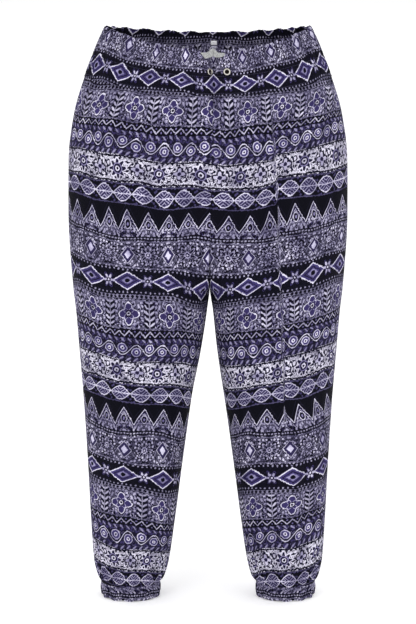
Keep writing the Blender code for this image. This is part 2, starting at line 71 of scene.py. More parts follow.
# One row for each level of the cloth, from the top down; see `smooth_form`.
SECTION_COLUMNS = ("z", "outer", "inner", "front", "back", "seam_y", "front_drop", "back_drop", "seam_x")
SECTIONS = (
    (    50, 174.5,    0,    94,   104,  0, 39, 12, 9.5),
    (    43,   179,    0,  95.5, 105.5,  0, 39, 12, 9.5),
    (     0, 198.5,    0,   104,   114,  0, 35, 11, 9.3),
    ( -43.5, 215.5,    0, 112.5,   124,  0, 30, 10,   9),
    (  -110,   235,    0,   124,   138,  0, 17,  7, 7.5),
    (  -185, 244.8,    0,   129,   146,  0,  5,  2,   6),
    (  -280,   246,    0,   128,   145,  0,  0,  0,   4),
    (-415.5, 238.5,    0, 121.5,   134,  2,  0,  0,   3),
    (  -453, 234.4,  4.5,   118,   129,  3,  0,  0, 3.5),
    (  -525,   229, 13.8,   109,   119,  5,  0,  0,   2),
    (  -612, 222.5, 28.6,  97.5,   107,  7,  0,  0,   0),
    (  -729, 216.3, 44.9,    84,    94, 12,  0,  0,   0),
    (  -847, 211.2, 60.4,  73.5,  82.5, 18,  0,  0,   0),
    (  -915, 206.8, 70.5,    66,  72.5, 21,  0,  0,   0),
    (  -938,   202, 76.2,    61,    65, 22,  0,  0,   0),
    (  -950,   197, 81.8,    56,    58, 22,  0,  0,   0),
    (  -957, 193.8,   87,    51,    52, 22,  0,  0,   0),
    (  -985, 192.5, 88.2,    49,    50, 22,  0,  0,   0),
)

# Folds, each along a straight line on one face, seen from the front: x and z of its start, x and
# z of its end, half width, height out of the cloth (< 0 a trough), and lean, which makes one flank steeper
# (< 0: the flank at -X).
FOLDS = {FRONT: (
    # hips and thighs
    (-176, -20, -105, -150, 16, -4, 0),
    (-200, -60, -150, -200, 18, 4, 0),
    (172, -20, 98, -160, 16, -4.5, 0),
    (205, -55, 158, -190, 18, 4, 0),
    (-80, -60, -62, -165, 9, -2.2, 0.2),
    (-135, -190, -150, -360, 14, 2.6, -0.2),
    (-60, -210, -82, -390, 12, -2.2, 0),
    (55, -70, 48, -200, 10, -2.2, 0),
    (190, -200, 200, -380, 14, -3, 0),
    # the long overlap down the wearer's left leg
    (118, -90, 143, -640, 13, 5, -0.55),
    (101, -85, 127, -640, 8, -5.5, 0.45),
    # drag lines at the crotch
    (-18, -385, -115, -290, 14, -3.5, 0),
    (22, -380, 90, -300, 13, -3.5, 0),
    (-20, -350, -85, -235, 9, 2.2, 0),
    (24, -345, 70, -240, 9, 2, 0),
    # lower legs
    (-150, -440, -128, -760, 20, 3.5, 0),
    (-85, -470, -102, -690, 16, -3, 0),
    (-190, -520, -180, -800, 12, -2.8, 0.3),
    (70, -470, 86, -700, 13, 2.5, 0),
    (176, -700, 172, -890, 12, -4.5, -0.35),
    (155, -690, 152, -900, 14, 4, 0.2),
    (112, -740, 120, -905, 10, -2.4, 0),
    (-160, -845, -100, -890, 12, -3, 0),
    (-118, -790, -128, -900, 9, 2.2, 0),
), BACK: (
    (15, -375, 125, -285, 15, -4.5, 0),
    (-15, -380, -115, -300, 15, -4.5, 0),
    (45, -455, 105, -640, 14, -3.5, 0),
    (-40, -450, -90, -660, 15, -4, 0),
    (180, -60, 120, -200, 17, -4, 0),
    (-185, -55, -128, -210, 17, -4, 0),
    (-130, -480, -140, -780, 18, 4, 0),
    (128, -500, 138, -800, 18, 4, 0),
    (160, -560, 165, -760, 14, -3.5, 0),
    (-70, -90, -58, -240, 12, -2.6, 0.2),
    (85, -110, 72, -260, 12, 2.4, 0),
    (-165, -600, -160, -800, 11, -2.8, 0),
    (95, -720, 110, -880, 10, -2.6, 0),
    (-105, -760, -112, -900, 10, 2.4, 0),
)}

# Gathers: cosines laid over each other, so that their spacing and depth are uneven. Each has its spacing, its
# share of the height, and two numbers that vary the spacing along the edge.
WAIST_GATHERS = ((0.021, 0.6, 1.3, 17), (0.0135, 0.4, 0.9, 31))
ANKLE_GATHERS = ((0.0175, 0.65, 1.2, 23), (0.0105, 0.35, 0.8, 41))
WAIST_GATHER_HEIGHT = 0.0016
WAIST_GATHER_REACH = 0.034
ANKLE_GATHER_HEIGHT = 0.0032
ANKLE_GATHER_REACH = 0.036
GATHER_SPAN = 0.28  # each panel's gathers are laid out over this width
GATHER_UNEVEN = 0.45  # share by which some gathers reach further than others
GATHER_TURN = 37
PINNED = 0.007  # gathers start this far from the seam that holds them

CREASE_X = 0.0094
CREASE_HALF_WIDTH = 0.0125
CREASE_ROUND = 0.12
CREASE_DEPTH = 0.0125
CREASE_FADE_TOP = -0.075
CREASE_FADE_BOTTOM = -0.15

SEAM_DIP = 0.0013  # the cloth dips to its seams
SEAM_DIP_REACH = 0.0035
SEAM_SQUARE = 0.01  # within this of a seam, folds move the cloth square to it
CROTCH_REACH = 0.03
SIDE_CALM = 0.15  # folds die out over this share of the width at the side seam
INNER_CALM = 0.18  # and over this one at the inseam
NOTCH_FADE = 0.06

PANEL_COLUMNS = 100
PANEL_MARKS = (BAND_BOTTOM - 2 * HALF_GAP, -0.3, CROTCH, -0.5, -0.88, LEG_BOTTOM)
PANEL_ROWS = (60, 50, 30, 70, 40)  # rows between one mark and the next
BAND_COLUMNS = 320
BAND_ROWS = 56
CUFF_COLUMNS = 320
CUFF_ROWS = 18
RIM_STEPS = 6

EYELETS = {"eyelet_right": 0.0034, "eyelet_left": 0.0322}  # x of each
EYELET_HEIGHT = -0.0325
EYELET_RADIUS = 0.0061
EYELET_HOLE = 0.0037
EYELET_RISE = 0.0013
EYELET_BARREL = 0.0017
EYELET_STEPS = 72
EYELET_PRESS = 0.01  # the cloth is pressed flat within this of an eyelet's middle
EYELET_RECESS = 0.0021  # and sinks this deep in its hole
RECESS_INSET = 0.0004
RECESS_EDGE = 0.0011
HOLE_BORDER = 0.0012  # the near-black painted shade of each eyelet's hole reaches this far under the ring
SEAT_REACH = 0.0045  # an eyelet sits level with the cloth over this
SEARCH_ROUNDS = 40  # steps by which `band_place` closes in on a place
SEARCH_WIDTH = 0.31
SEARCH_SHARE = 0.8
SHARP_ANGLE = 60

TAPE_THICK = 0.0013
TAPE_RIPPLE = 0.0009
TAPE_CURL = 0.0008
TIE_LIFT = 0.0006
KNOT_X = 0.0088
KNOT_Z = -0.0022
KNOT_PLEAT = 0.0008
KNOT_POWER = 0.75  # below 1, the knot's section is squarer than an ellipse

TAB_THICK = 0.0008
TAB_PUFF = 0.00025
TAB_CLEAR = 0.0003

STITCH_LENGTH = 0.0026
STITCH_PITCH = 0.0033
STITCH_RADIUS = 0.00026
STITCH_ARCH = (-0.6, 0.7, 1, 0.7, -0.6)  # rise along a stitch, over its radius
STITCH_SIDES = 5

# The knot across its width: x from its middle, top and bottom edge, and how far it swells forwards.
KNOT = (
    (-6.9, 4.6, -6.6, 1),
    (-6.4, 5.8, -6.7, 2.8),
    (-4.8, 7.1, -6.4, 4),
    (-2.4, 8.3, -5.5, 4.2),
    (-0.7, 8.9, -4.5, 1.8),
    (0.3, 8.8, -4, 0.4),
    (1.2, 8.1, -4.6, 2),
    (3, 6.4, -5.7, 4.1),
    (5, 4.9, -6.3, 3.7),
    (6.6, 3.6, -6.2, 2.2),
    (7.1, 3, -5.8, 0.8),
)
# Each tape end outwards from the knot's middle: place, top and bottom edge; the last rows are its slanting cut.
TAPE_RIGHT = (
    (6.6, 4.4, -6),
    (8, 4, -6.8),
    (9.8, 2.8, -7.3),
    (12, 2.1, -7.9),
    (13.6, 1.9, -8.2),
    (16, 1.9, -5.4),
    (18.5, 2, -2.4),
    (20.6, 2.1, 0.2),
    (21.9, 2, 1.5),
)
TAPE_LEFT = (
    (6.6, 3, -5.8),
    (8, 2.4, -6.4),
    (9.7, 1.6, -6.3),
    (12.2, 1.5, -5.8),
    (15, 1.4, -5.2),
    (17.5, 1.2, -3.8),
    (19.3, 0.4, -2.7),
    (20.3, -0.8, -2.1),
)


def smooth_step(value):
    """0 below 0, 1 above 1, and a smooth rise between."""
    value = np.clip(value, 0, 1)
    return value * value * (3 - 2 * value)


def bell(value):
    """1 at 0, and a smooth fall to nothing on both sides."""
    return np.exp(-(value**2))


def unit(vectors):
    """Vectors of length 1 in the same directions."""
    return vectors / np.maximum(np.linalg.norm(vectors, axis=-1, keepdims=True), 1e-12)


def together(*parts):
    """Points or places from their coordinates."""
    return np.stack(np.broadcast_arrays(*parts), axis=-1)


def curve(places, values, slopes, at):
    """A smooth curve through values at rising places, with the slopes there."""
    k = np.clip(np.searchsorted(places, at) - 1, 0, len(places) - 2)
    step = places[k + 1] - places[k]
    t = (at - places[k]) / step
    square, cube = t * t, t * t * t
    return (
        (2 * cube - 3 * square + 1) * values[k]
        + (cube - 2 * square + t) * slopes[k] * step
        + (3 * square - 2 * cube) * values[k + 1]
        + (cube - square) * slopes[k + 1] * step
    )


def monotone_slopes(places, values):
    """Slopes of a curve through the values that never overshoots them."""
    steps = np.diff(places)
    rises = np.diff(values) / steps
    slopes = [rises[0]]
    for step, next_step, rise, next_rise in zip(steps, steps[1:], rises, rises[1:]):
        before, after = 2 * next_step + step, next_step + 2 * step
        climbs = rise * next_rise > 0
        slopes.append((before + after) / (before / rise + after / next_rise) if climbs else 0)
    return np.array(slopes + [rises[-1]])


HEIGHTS, *SECTION_VALUES = np.array(SECTIONS)[::-1].T * MM
SECTION_CURVES = {
    name: (values, monotone_slopes(HEIGHTS, values)) for name, values in zip(SECTION_COLUMNS[1:], SECTION_VALUES)
}


def section(name, z):
    """One column of SECTIONS at any height."""
    return curve(HEIGHTS, *SECTION_CURVES[name], np.clip(z, HEIGHTS[0], HEIGHTS[-1]))


def fold_height(face, x, z):
    """Height of the folds at a place of one face, seen from the front."""
    x, z = x / MM, z / MM
    total = np.zeros(np.broadcast(x, z).shape)
    for x0, z0, x1, z1, reach, height, lean in FOLDS[face]:
        along, up = x1 - x0, z1 - z0
        length = math.hypot(along, up)
        t = ((x - x0) * along + (z - z0) * up) / length**2
        off = ((z - z0) * along - (x - x0) * up) / length
        width = reach * (1 - lean * np.tanh(off / reach))
        ends = smooth_step((t + 0.12) / 0.3) * smooth_step((1.12 - t) / 0.3)
        total += height * ends * bell(off / width)
    return total * MM


def gathers(table, run, phase):
    """Uneven waves along an edge, between -1 and 1."""
    return sum(
        height * np.cos(TURN * run / wave + bend * np.sin(turn * run + phase) + phase)
        for wave, height, bend, turn in table
    )


def crease_height(x, z):
    """Depth of the drawn-in crease at the centre front, as a negative height."""
    climb = np.clip(1 - np.abs(x - CREASE_X) / CREASE_HALF_WIDTH, 0, None)
    profile = climb**2 / (climb + CREASE_ROUND) * (1 + CREASE_ROUND)
    fade = smooth_step((z - CREASE_FADE_BOTTOM) / (CREASE_FADE_TOP - CREASE_FADE_BOTTOM))
    return -CREASE_DEPTH * profile * fade


def smooth_form(face, side, u, z_row, inset):
    """Points of the cloth without folds. u runs from the centre seam or inseam (0) to the side seam (1)."""
    outer = section("outer", z_row) - inset
    depth = section(FACES[face], z_row) - inset
    sunk = np.clip((NOTCH_TOP - z_row) / (NOTCH_TOP - CROTCH), 0, 1)
    share = smooth_step(sunk)
    inner = section("inner", z_row) + HALF_GAP + inset * share
    x = (outer + inner) / 2 - (outer - inner) / 2 * np.cos(math.pi * u)
    ratio = np.clip(x / outer, 0, 1)
    middle = 1 - ratio**2
    torso = np.sqrt(np.clip(1 - ratio**TORSO_POWER, 0, 1))
    lobe = np.clip(np.sin(math.pi * u), 0, 1) ** LOBE_POWER
    body = (1 - share) * torso + share * lobe
    # the centre seam itself runs down and under in a quarter of an ellipse
    seam = 1 - (1 - np.sqrt(np.clip(1 - sunk * sunk, 0, 1))) / np.maximum(share, 1e-9)
    seam = np.where(share > 1e-6, seam, 0) * bell(x / SADDLE_REACH)
    y = section("seam_y", z_row) + face * (depth * (1 - (1 - body) * (1 - seam)) + HALF_GAP)
    under = np.exp(-np.clip((CROTCH - z_row) / CROTCH_REACH, 0, None))
    z = z_row - section(FACES[face] + "_drop", z_row) * middle + inset * sunk * under
    return together(side * x + section("seam_x", z_row) * middle, y, z)


def outward(face, side, u, z_row):
    """Level unit directions out of the cloth's smooth form, so that no fold lifts or lowers a seam."""
    low, high = np.clip(u - NUDGE, 0, 1), np.clip(u + NUDGE, 0, 1)
    across = smooth_form(face, side, high, z_row, 0) - smooth_form(face, side, low, z_row, 0)
    down = smooth_form(face, side, u, z_row - NUDGE, 0) - smooth_form(face, side, u, z_row + NUDGE, 0)
    normal = np.cross(across, down)
    normal[..., 2] = 0
    normal = unit(normal)
    return np.where(normal[..., 1:2] * face < 0, -normal, normal)


def run_along(points):
    """Distance along each row of points from its first column."""
    steps = np.linalg.norm(np.diff(points, axis=1), axis=-1)
    return np.concatenate((np.zeros((len(points), 1)), np.cumsum(steps, axis=1)), axis=1)


# ---- the print's place on the cloth
HIP = -0.28  # level of the widest hips
SAG = 0.022  # how far the print's bands hang lower at the centre than at the sides
INNER_DROP = 0.32  # how far the bands drop towards the inside leg, over how far it curves back
INNER_REACH = 0.055
SEAM_TAKES = 0.0065  # cloth of the wearer's left panels that the centre seams take up
OVERLAP = ((0.11, -0.085), (0.135, -0.64))  # the long fold's line, top and bottom, as (x, z)
OVERLAP_HIDES = 0.026  # cloth that the long fold swallows across
OVERLAP_LIFTS = 0.008  # and how much higher the print lies beyond it
OVERLAP_SOFT = 0.004
ANKLE_FULLNESS = 0.3  # cloth taken up by the gathers at the cuffs, as a share of their length
ANKLE_FULL_TOP = -0.86  # and where that starts, and the height over which it comes in
ANKLE_FULL_REACH = 0.09
BAND_FULLNESS = 1.22  # cloth in the gathered waistband and cuffs, over their length
BAND_PRINT_TOP = {FRONT: 0.313, BACK: 0.031}  # where on the printed cloth each casing's top edge was cut
CUFF_PRINT_TOP = 0.985  # and the cuffs'


def print_place(face, side, u, z_row, points):
    """Where on the printed cloth each point lies: across from the centre seam, and down from the waist."""
    run = run_along(points)
    hip = run_along(smooth_form(face, side, u[:1], np.array([[HIP]]), 0))[0]
    from_middle = run - np.array([np.interp(0.5, u[0], line) for line in run])[:, None]
    fuller = 1 + ANKLE_FULLNESS * smooth_step((ANKLE_FULL_TOP - z_row) / ANKLE_FULL_REACH)
    below = np.interp(0.5, u[0], hip) + from_middle * fuller
    across = np.where(z_row > HIP, run / run[:, -1:] * hip[-1], below)
    ratio = np.clip(np.abs(points[..., 0]) / section("outer", z_row), 0, 1)
    down = -points[..., 2] - SAG * (1 - ratio**2)
    if face == FRONT:
        behind = points[..., 1] - points[..., 1].min(axis=1, keepdims=True)
        inner = smooth_step((0.6 - u) / 0.45) * smooth_step((HIP - z_row) / 0.12)
        down -= INNER_DROP * INNER_REACH * np.tanh(behind / INNER_REACH) * inner
        if side > 0:
            (x0, z0), (x1, z1) = OVERLAP
            line = x0 + (x1 - x0) * (z_row - z0) / (z1 - z0)
            ends = smooth_step((z0 + 0.03 - z_row) / 0.08) * smooth_step((z_row - z1 + 0.05) / 0.12)
            beyond = smooth_step((points[..., 0] - line) / OVERLAP_SOFT + 0.5) * ends
            across += OVERLAP_HIDES * beyond
            down += OVERLAP_LIFTS * beyond
    if side > 0:
        across += SEAM_TAKES
    return together(side * across, down)


# ---- cloth surfaces
def leg_surface(face, side, u, z_row, inset):
    """Points of a leg panel with its folds, gathers and seam dips."""
    points = smooth_form(face, side, u, z_row, inset)
    x, z = points[..., 0], points[..., 2]
    run = run_along(smooth_form(face, side, u, z_row, 0))
    to_side = run[:, -1:] - run
    in_notch = smooth_step((NOTCH_TOP - z_row) / NOTCH_FADE)
    height = fold_height(face, x, z) * smooth_step((1 - u) / SIDE_CALM)
    if face == FRONT:
        height += crease_height(x, z)
    height *= 1 - in_notch * (1 - smooth_step(u / INNER_CALM))
    phase = 1.7 * face + 0.9 * side
    place = side * run / run[:, -1:] * GATHER_SPAN
    longer = 1 + GATHER_UNEVEN * np.sin(GATHER_TURN * place + phase)
    seams = smooth_step(to_side / 0.02) * (1 - in_notch * (1 - smooth_step(run / 0.03)))
    for table, level, size, reach in (
        (WAIST_GATHERS, BAND_BOTTOM - z_row, WAIST_GATHER_HEIGHT, WAIST_GATHER_REACH),
        (ANKLE_GATHERS, z_row - LEG_BOTTOM, ANKLE_GATHER_HEIGHT, ANKLE_GATHER_REACH),
    ):
        fade = smooth_step(level / PINNED) * np.exp(-level / (reach * longer))
        height += size * gathers(table, place, phase) * fade * seams
    from_crotch = smooth_step(np.abs(z_row - CROTCH) / CROTCH_REACH)
    height -= SEAM_DIP * (bell(run / SEAM_DIP_REACH) * from_crotch + bell(to_side / SEAM_DIP_REACH))
    height *= smooth_step((z_row - LEG_BOTTOM) / 0.012)
    way = outward(face, side, u, z_row)
    at_seam, at_side = smooth_step(run / SEAM_SQUARE), smooth_step(to_side / SEAM_SQUARE)
    above = z_row > CROTCH
    way[..., 0] *= np.where(above, at_seam, 1)
    way[..., 1] *= np.where(above, 1, at_seam) * at_side
    return points + unit(way) * height[..., None]


HEADER = 0.013  # height of the ruffle above the elastic
BAND_STITCH_ROWS = (BAND_TOP - HEADER, -0.006, BAND_BOTTOM + 0.005)
BAND_WAVE = 0.031
BAND_WAVE_HEIGHT = 0.002
BAND_EDGE_BUMP = 0.0012
FLAT_SPOTS = {FRONT: (0.01, 0.022), BACK: (0.0107, 0.016)}  # x and reach of the calm at the tie and the tabs
RUFFLE = ((0.0195, 0.62, 1.1, 19), (0.012, 0.38, 1, 33))
RUFFLE_HEIGHT = 0.0014
RUFFLE_LIFT = 0.0017
ELASTIC_STITCH = 0.0016  # half width of the groove along a row of stitching
GROOVE_DEPTH = 0.0007
WRINKLE_WAVE = 0.0085
WRINKLE_HEIGHT = 0.00045
CUFF_WAVES = 11
CUFF_WAVE_HEIGHT = 0.0016
CUFF_WRINKLE_HEIGHT = 0.0006
CUFF_PUFF = 0.0012
CUFF_STITCH = 0.16  # level of the cuffs' stitching


def band_turn(across):
    """The side and u of places across the waistband."""
    u = np.arccos(np.clip(1 - 2 * np.sin(math.pi * np.abs(across) / 2), -1, 1)) / math.pi
    return np.where(across < 0, -1, 1), u


def band_surface(face, across, z_row, inset):
    """Points of the waistband. across runs from -1 at one side seam to 1 at the other."""
    across, z_row = np.broadcast_arrays(across, z_row)
    side, u = band_turn(across)
    points = smooth_form(face, side, u, z_row, inset - BAND_PROUD)
    normal = outward(face, side, u, z_row)
    run = across * section("outer", z_row) * 1.15
    level = (z_row - BAND_BOTTOM) / (BAND_TOP - BAND_BOTTOM)
    flat_x, reach = FLAT_SPOTS[face]
    away = np.abs(points[..., 0] - flat_x) / reach
    wave = np.cos(TURN * run / BAND_WAVE + 0.9 * np.sin(9 * across + face)) * smooth_step(away - 0.6)
    ends = smooth_step((1 - np.abs(across)) / 0.12) * (0.25 + 0.75 * smooth_step(away))
    height = BAND_WAVE_HEIGHT * wave * ends * (0.25 + 0.75 * level)
    if face == FRONT:
        height += crease_height(points[..., 0], points[..., 2])
    fine = np.cos(TURN * run / WRINKLE_WAVE + 1.6 * np.sin(87 * run) + 2 * np.sin(40 * z_row))
    height += WRINKLE_HEIGHT * fine * ends * (0.35 + 0.65 * np.sin(math.pi * np.clip(level, 0, 1)))
    for row_z in BAND_STITCH_ROWS:
        height -= GROOVE_DEPTH * bell((z_row - row_z) / ELASTIC_STITCH)
    ruffle = gathers(RUFFLE, run, 0.7 * face)
    calm = smooth_step((1 - np.abs(across)) / 0.22)
    free = smooth_step((z_row - BAND_TOP + HEADER) / HEADER) * ends * calm
    height += RUFFLE_HEIGHT * np.sign(ruffle) * np.abs(ruffle) ** 0.7 * free
    points += normal * height[..., None]
    points[..., 2] += RUFFLE_LIFT * (np.abs(ruffle) ** 0.35 - 0.7) * free
    points[..., 2] += BAND_EDGE_BUMP * wave * ends * smooth_step((level - 0.75) / 0.25)
    return points


def cuff_surface(side, turn, level, inset):
    """Points of a cuff. turn runs once round it from 0 to 1, level from 0 at its top to 1 at its hem."""
    z = LEG_BOTTOM - 2 * HALF_GAP - CUFF_HEIGHT * level
    outer, inner = section("outer", z), section("inner", z)
    angle = TURN * turn
    wave = np.cos(CUFF_WAVES * angle + 0.8 * np.sin(2 * angle)) * CUFF_WAVE_HEIGHT
    fine = np.cos(31 * angle + 1.5 * np.sin(5 * angle + side)) * CUFF_WRINKLE_HEIGHT
    fine = fine * np.sin(math.pi * np.clip(level * 0.9 + 0.1, 0, 1))
    groove = GROOVE_DEPTH * bell((level - CUFF_STITCH) * CUFF_HEIGHT / ELASTIC_STITCH)
    grow = wave * (0.45 + 0.55 * level) + fine + CUFF_PUFF * np.sin(math.pi * level) - groove - inset
    x = (outer + inner) / 2 + ((outer - inner) / 2 + grow) * np.cos(angle)
    depth = np.where(np.sin(angle) < 0, section("front", z), section("back", z))
    y = section("seam_y", z) + (depth + grow) * np.sin(angle)
    return together(side * x, y, z + 0.0012 * np.cos(CUFF_WAVES * angle + 1) * level)


# ---- meshes
def put(name, data):
    """A new object in the scene."""
    made = bpy.data.objects.new(name, data)
    bpy.context.scene.collection.objects.link(made)
    return made


def make_piece(name, points, faces, spots=None, reverse=None):
    """A smooth piece with its faces turned outwards. spots are places on the flat cloth, for each face's
    corners, and reverse is how far the cloth's reverse shows, for each point."""
    mesh = bpy.data.meshes.new(name)
    mesh.from_pydata(points.reshape(-1, 3).tolist(), [], faces)
    if spots is not None:
        mesh.uv_layers.new(name="cloth").data.foreach_set("uv", spots.astype(np.float32).ravel())
    if reverse is not None:
        inside = mesh.attributes.new("inside", "FLOAT", "POINT")
        inside.data.foreach_set("value", reverse.astype(np.float32))
    work = bmesh.new()
    work.from_mesh(mesh)
    bmesh.ops.recalc_face_normals(work, faces=work.faces)
    work.to_mesh(mesh)
    work.free()
    mesh.shade_smooth()
    mesh.set_sharp_from_angle(angle=math.radians(SHARP_ANGLE))
    return put(name, mesh)


def dress(piece, material, slot, *nodes):
    """Give a piece its material and its place on the frame."""
    piece.data.materials.append(material)
    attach(piece, "root")
    if nodes:
        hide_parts(*nodes)


def quads(loops, lines, steps):
    """Row and column of the corners of each face between rows of points; row `loops` is row 0 again."""
    i, j = (part.reshape(-1, 1) for part in np.indices((lines, steps)))
    return (i + (0, 0, 1, 1)) % loops, j + (0, 1, 1, 0)


def rim(outer_line, inner_line, before):
    """Rows that carry a folded edge round from the outer line to the inner one."""
    middle, half = (outer_line + inner_line) / 2, (outer_line - inner_line) / 2
    away = unit(middle - before) * np.linalg.norm(half, axis=-1, keepdims=True)
    angle = math.pi * np.arange(1, RIM_STEPS)[:, None, None] / RIM_STEPS
    return middle + half * np.cos(angle) + away * np.sin(angle)


def shell(name, outer, inner, place, reverse=1, closed_round=False, round_top=False, round_bottom=False):
    """A closed cloth wall between two grids of points, with the print's places as its UV map."""
    rows = len(outer)
    bottom = rim(outer[-1], inner[-1], (outer[-2] + inner[-2]) / 2) if round_bottom else ()
    top = rim(inner[0], outer[0], (outer[1] + inner[1]) / 2) if round_top else ()
    grid = np.array([*outer, *bottom, *inner[::-1], *top])
    spot = np.array([*place, *[place[-1]] * len(bottom), *place[::-1], *[place[0]] * len(top)])
    shows = [0] * rows + [0.5 * reverse] * len(bottom) + [reverse] * rows + [0.5 * reverse] * len(top)
    if closed_round:
        grid = grid[:, :-1]
    loops, width = grid.shape[:2]
    row, column = quads(loops, loops, width if closed_round else width - 1)
    faces, spots = (row * width + column % width).tolist(), [spot[row, column].reshape(-1, 2)]
    if not closed_round:
        turned, last = rows + len(bottom), 2 * rows + len(bottom) - 1  # first and last row of the inner grid
        strips = [[k, k + 1, last - k - 1, last - k] for k in range(rows - 1)]
        if round_bottom:
            strips.append([*range(rows - 1, turned + 1)])
        if round_top:
            strips.append([*range(last, loops), 0])
        for column in (0, width - 1):
            faces += [[row * width + column for row in strip] for strip in strips]
            spots += [spot[strip, column] for strip in strips]
    return make_piece(name, grid, faces, np.concatenate(spots), np.repeat(shows, width))


def loft(name, rings, place):
    """A closed piece through rings of points, capped at both ends."""
    count, around = rings.shape[:2]
    row, column = quads(count, count - 1, around)
    faces = (row * around + column % around).tolist()
    faces += [[*range(around)], [*range((count - 1) * around, count * around)]]
    place = np.concatenate((place, place[:, :1]), axis=1)
    spots = np.concatenate((place[row, column].reshape(-1, 2), place[0, :-1], place[-1, :-1]))
    return make_piece(name, rings, faces, spots)


def build_panels(material):
    """The four leg panels, with rows closer together at the crotch and the ankle."""
    lines = []
    for high, low, count in zip(PANEL_MARKS, PANEL_MARKS[1:], PANEL_ROWS):
        t = np.linspace(0, 1, count, endpoint=False)
        lines.append(high + (low - high) * (np.sin(t * math.pi / 2) if low == CROTCH else t))
    heights = np.concatenate(lines + [[LEG_BOTTOM]])
    u, z_row = np.meshgrid(np.linspace(0, 1, PANEL_COLUMNS + 1), heights)
    for face, face_name in FACES.items():
        for side, side_name in SIDES.items():
            name = f"{face_name}_{side_name}"
            place = print_place(face, side, u, z_row, smooth_form(face, side, u, z_row, 0))
            outer, inner = (leg_surface(face, side, u, z_row, inset) for inset in (0, WALL))
            dress(shell(f"cloth_{name}", outer, inner, place), material, "print_cloth", name)


def band_place(x, z, face, inset):
    """Points of the waistband at places seen from the front, found by closing in on them."""
    across, level = np.zeros(np.shape(x)), np.zeros(np.shape(x))
    for _ in range(SEARCH_ROUNDS):
        point = band_surface(face, across, level, inset)
        across = np.clip(across + (x - point[..., 0]) / SEARCH_WIDTH, -1, 1)
        level = level + (z - point[..., 2]) * SEARCH_SHARE
    return band_surface(face, across, level, inset)


def seat_on_band(x, z):
    """A matrix on the front of the waistband, Z out of the cloth and Y up."""
    right, left, top, bottom = (
        band_place(x + across * SEAT_REACH, z + up * SEAT_REACH, FRONT, 0)
        for across, up in ((1, 0), (-1, 0), (0, 1), (0, -1))
    )
    normal = Vector(np.cross(right - left, top - bottom)).normalized()
    up = (Vector((0, 0, 1)) - normal * normal.z).normalized()
    turn = Matrix((up.cross(normal), up, normal)).transposed().to_4x4()
    return Matrix.Translation(Vector((right + left + top + bottom) / 4)) @ turn


def move(points, matrix):
    """Points moved by a matrix."""
    matrix = np.array(matrix)
    return points @ matrix[:3, :3].T + matrix[:3, 3]


def press(points, seat, depth, recess):
    """Press the cloth flat under an eyelet and down into its hole; also returns each point's distance."""
    there = move(points, seat.inverted())
    away = np.hypot(there[..., 0], there[..., 1])
    away = np.where(np.abs(there[..., 2]) < 0.02, away, 1)  # the rest of the waistband is left alone
    flat = 1 - smooth_step((away - EYELET_RADIUS) / (EYELET_PRESS - EYELET_RADIUS))
    sunk = 1 - smooth_step((away - EYELET_HOLE + RECESS_INSET) / RECESS_EDGE)
    there[..., 2] += flat * (-depth - there[..., 2]) - sunk * recess
    return move(there, seat), away


def build_waistband(material, hole_shade_material):
    """Front and back of the gathered casing, with near-black painted shade in the eyelets' holes; returns where
    the eyelets sit.
    """
    seats = [seat_on_band(x, EYELET_HEIGHT) for x in EYELETS.values()]
    across = np.linspace(-1, 1, BAND_COLUMNS + 1)
    z_row = np.linspace(BAND_TOP - BAND_WALL / 2, BAND_BOTTOM, BAND_ROWS + 1)[:, None]
    for face, face_name in FACES.items():
        outer, inner = (band_surface(face, across, z_row, inset) for inset in (0, BAND_WALL))
        run = run_along(outer)
        middle = np.array([np.interp(0, across, line) for line in run])[:, None]
        width = run[-1, -1] * BAND_FULLNESS
        place = together((run - middle) / run[:, -1:] * width, BAND_TOP - z_row + BAND_PRINT_TOP[face])
        shaded_holes = np.zeros(run.shape, dtype=bool)
        for seat in seats if face == FRONT else ():
            outer, away = press(outer, seat, 0, EYELET_RECESS)
            inner, _ = press(inner, seat, BAND_WALL, 0)
            shaded_holes |= away < EYELET_HOLE + HOLE_BORDER
        piece = shell(f"casing_{face_name}", outer, inner, place, reverse=0, round_top=True)
        dress(piece, material, "print_casing", f"waistband_{face_name}")
        if face == FRONT:
            # faces in and just round each eyelet's hole get the near-black painted shade of the hole's depth
            piece.data.materials.append(hole_shade_material)
            for i, j in zip(*np.nonzero(shaded_holes[:-1, :-1] & shaded_holes[1:, 1:])):
                piece.data.polygons[int(i * BAND_COLUMNS + j)].material_index = 1
    return seats


def build_cuffs(material):
    """Both ankle cuffs."""
    turn = np.linspace(0, 1, CUFF_COLUMNS + 1)
    level = np.linspace(0, 1 - 0.5 * CUFF_WALL / CUFF_HEIGHT, CUFF_ROWS + 1)[:, None]
    for side, side_name in SIDES.items():
        outer, inner = (cuff_surface(side, turn, level, inset) for inset in (0, CUFF_WALL))
        place = together(run_along(outer) * BAND_FULLNESS, CUFF_PRINT_TOP + level * CUFF_HEIGHT)
        piece = shell(f"cuff_cloth_{side_name}", outer, inner, place, 0, closed_round=True, round_bottom=True)
        dress(piece, material, "print_casing", f"cuff_{side_name}")


# ---- small pieces
def build_eyelets(seats, material):
    """Rolled metal rings whose barrels go into the casing."""
    middle, half = (EYELET_RADIUS + EYELET_HOLE) / 2, (EYELET_RADIUS - EYELET_HOLE) / 2
    roll = np.linspace(math.pi, 0, 17)
    profile = (
        (EYELET_HOLE - 0.00016, -EYELET_BARREL),
        (EYELET_HOLE - 0.0001, -EYELET_BARREL * 0.5),
        *zip(middle + half * np.cos(roll), EYELET_RISE * np.sin(roll) ** 0.8 + 0.00018),
        (EYELET_RADIUS - 0.0002, 0.00004),
        (EYELET_HOLE + 0.0003, 0.00004),
        (EYELET_HOLE + 0.0002, -EYELET_BARREL),
    )
    radius, height = np.array(profile).T
    turn = np.linspace(0, TURN, EYELET_STEPS, endpoint=False)[:, None]
    rings = together(radius * np.cos(turn), radius * np.sin(turn), height)
    row, column = quads(EYELET_STEPS, EYELET_STEPS, len(profile))
    faces = (row * len(profile) + column % len(profile)).tolist()
    for name, seat in zip(EYELETS, seats):
        dress(make_piece(f"ring_{name}", move(rings, seat), faces), material, "eyelet_metal", name)


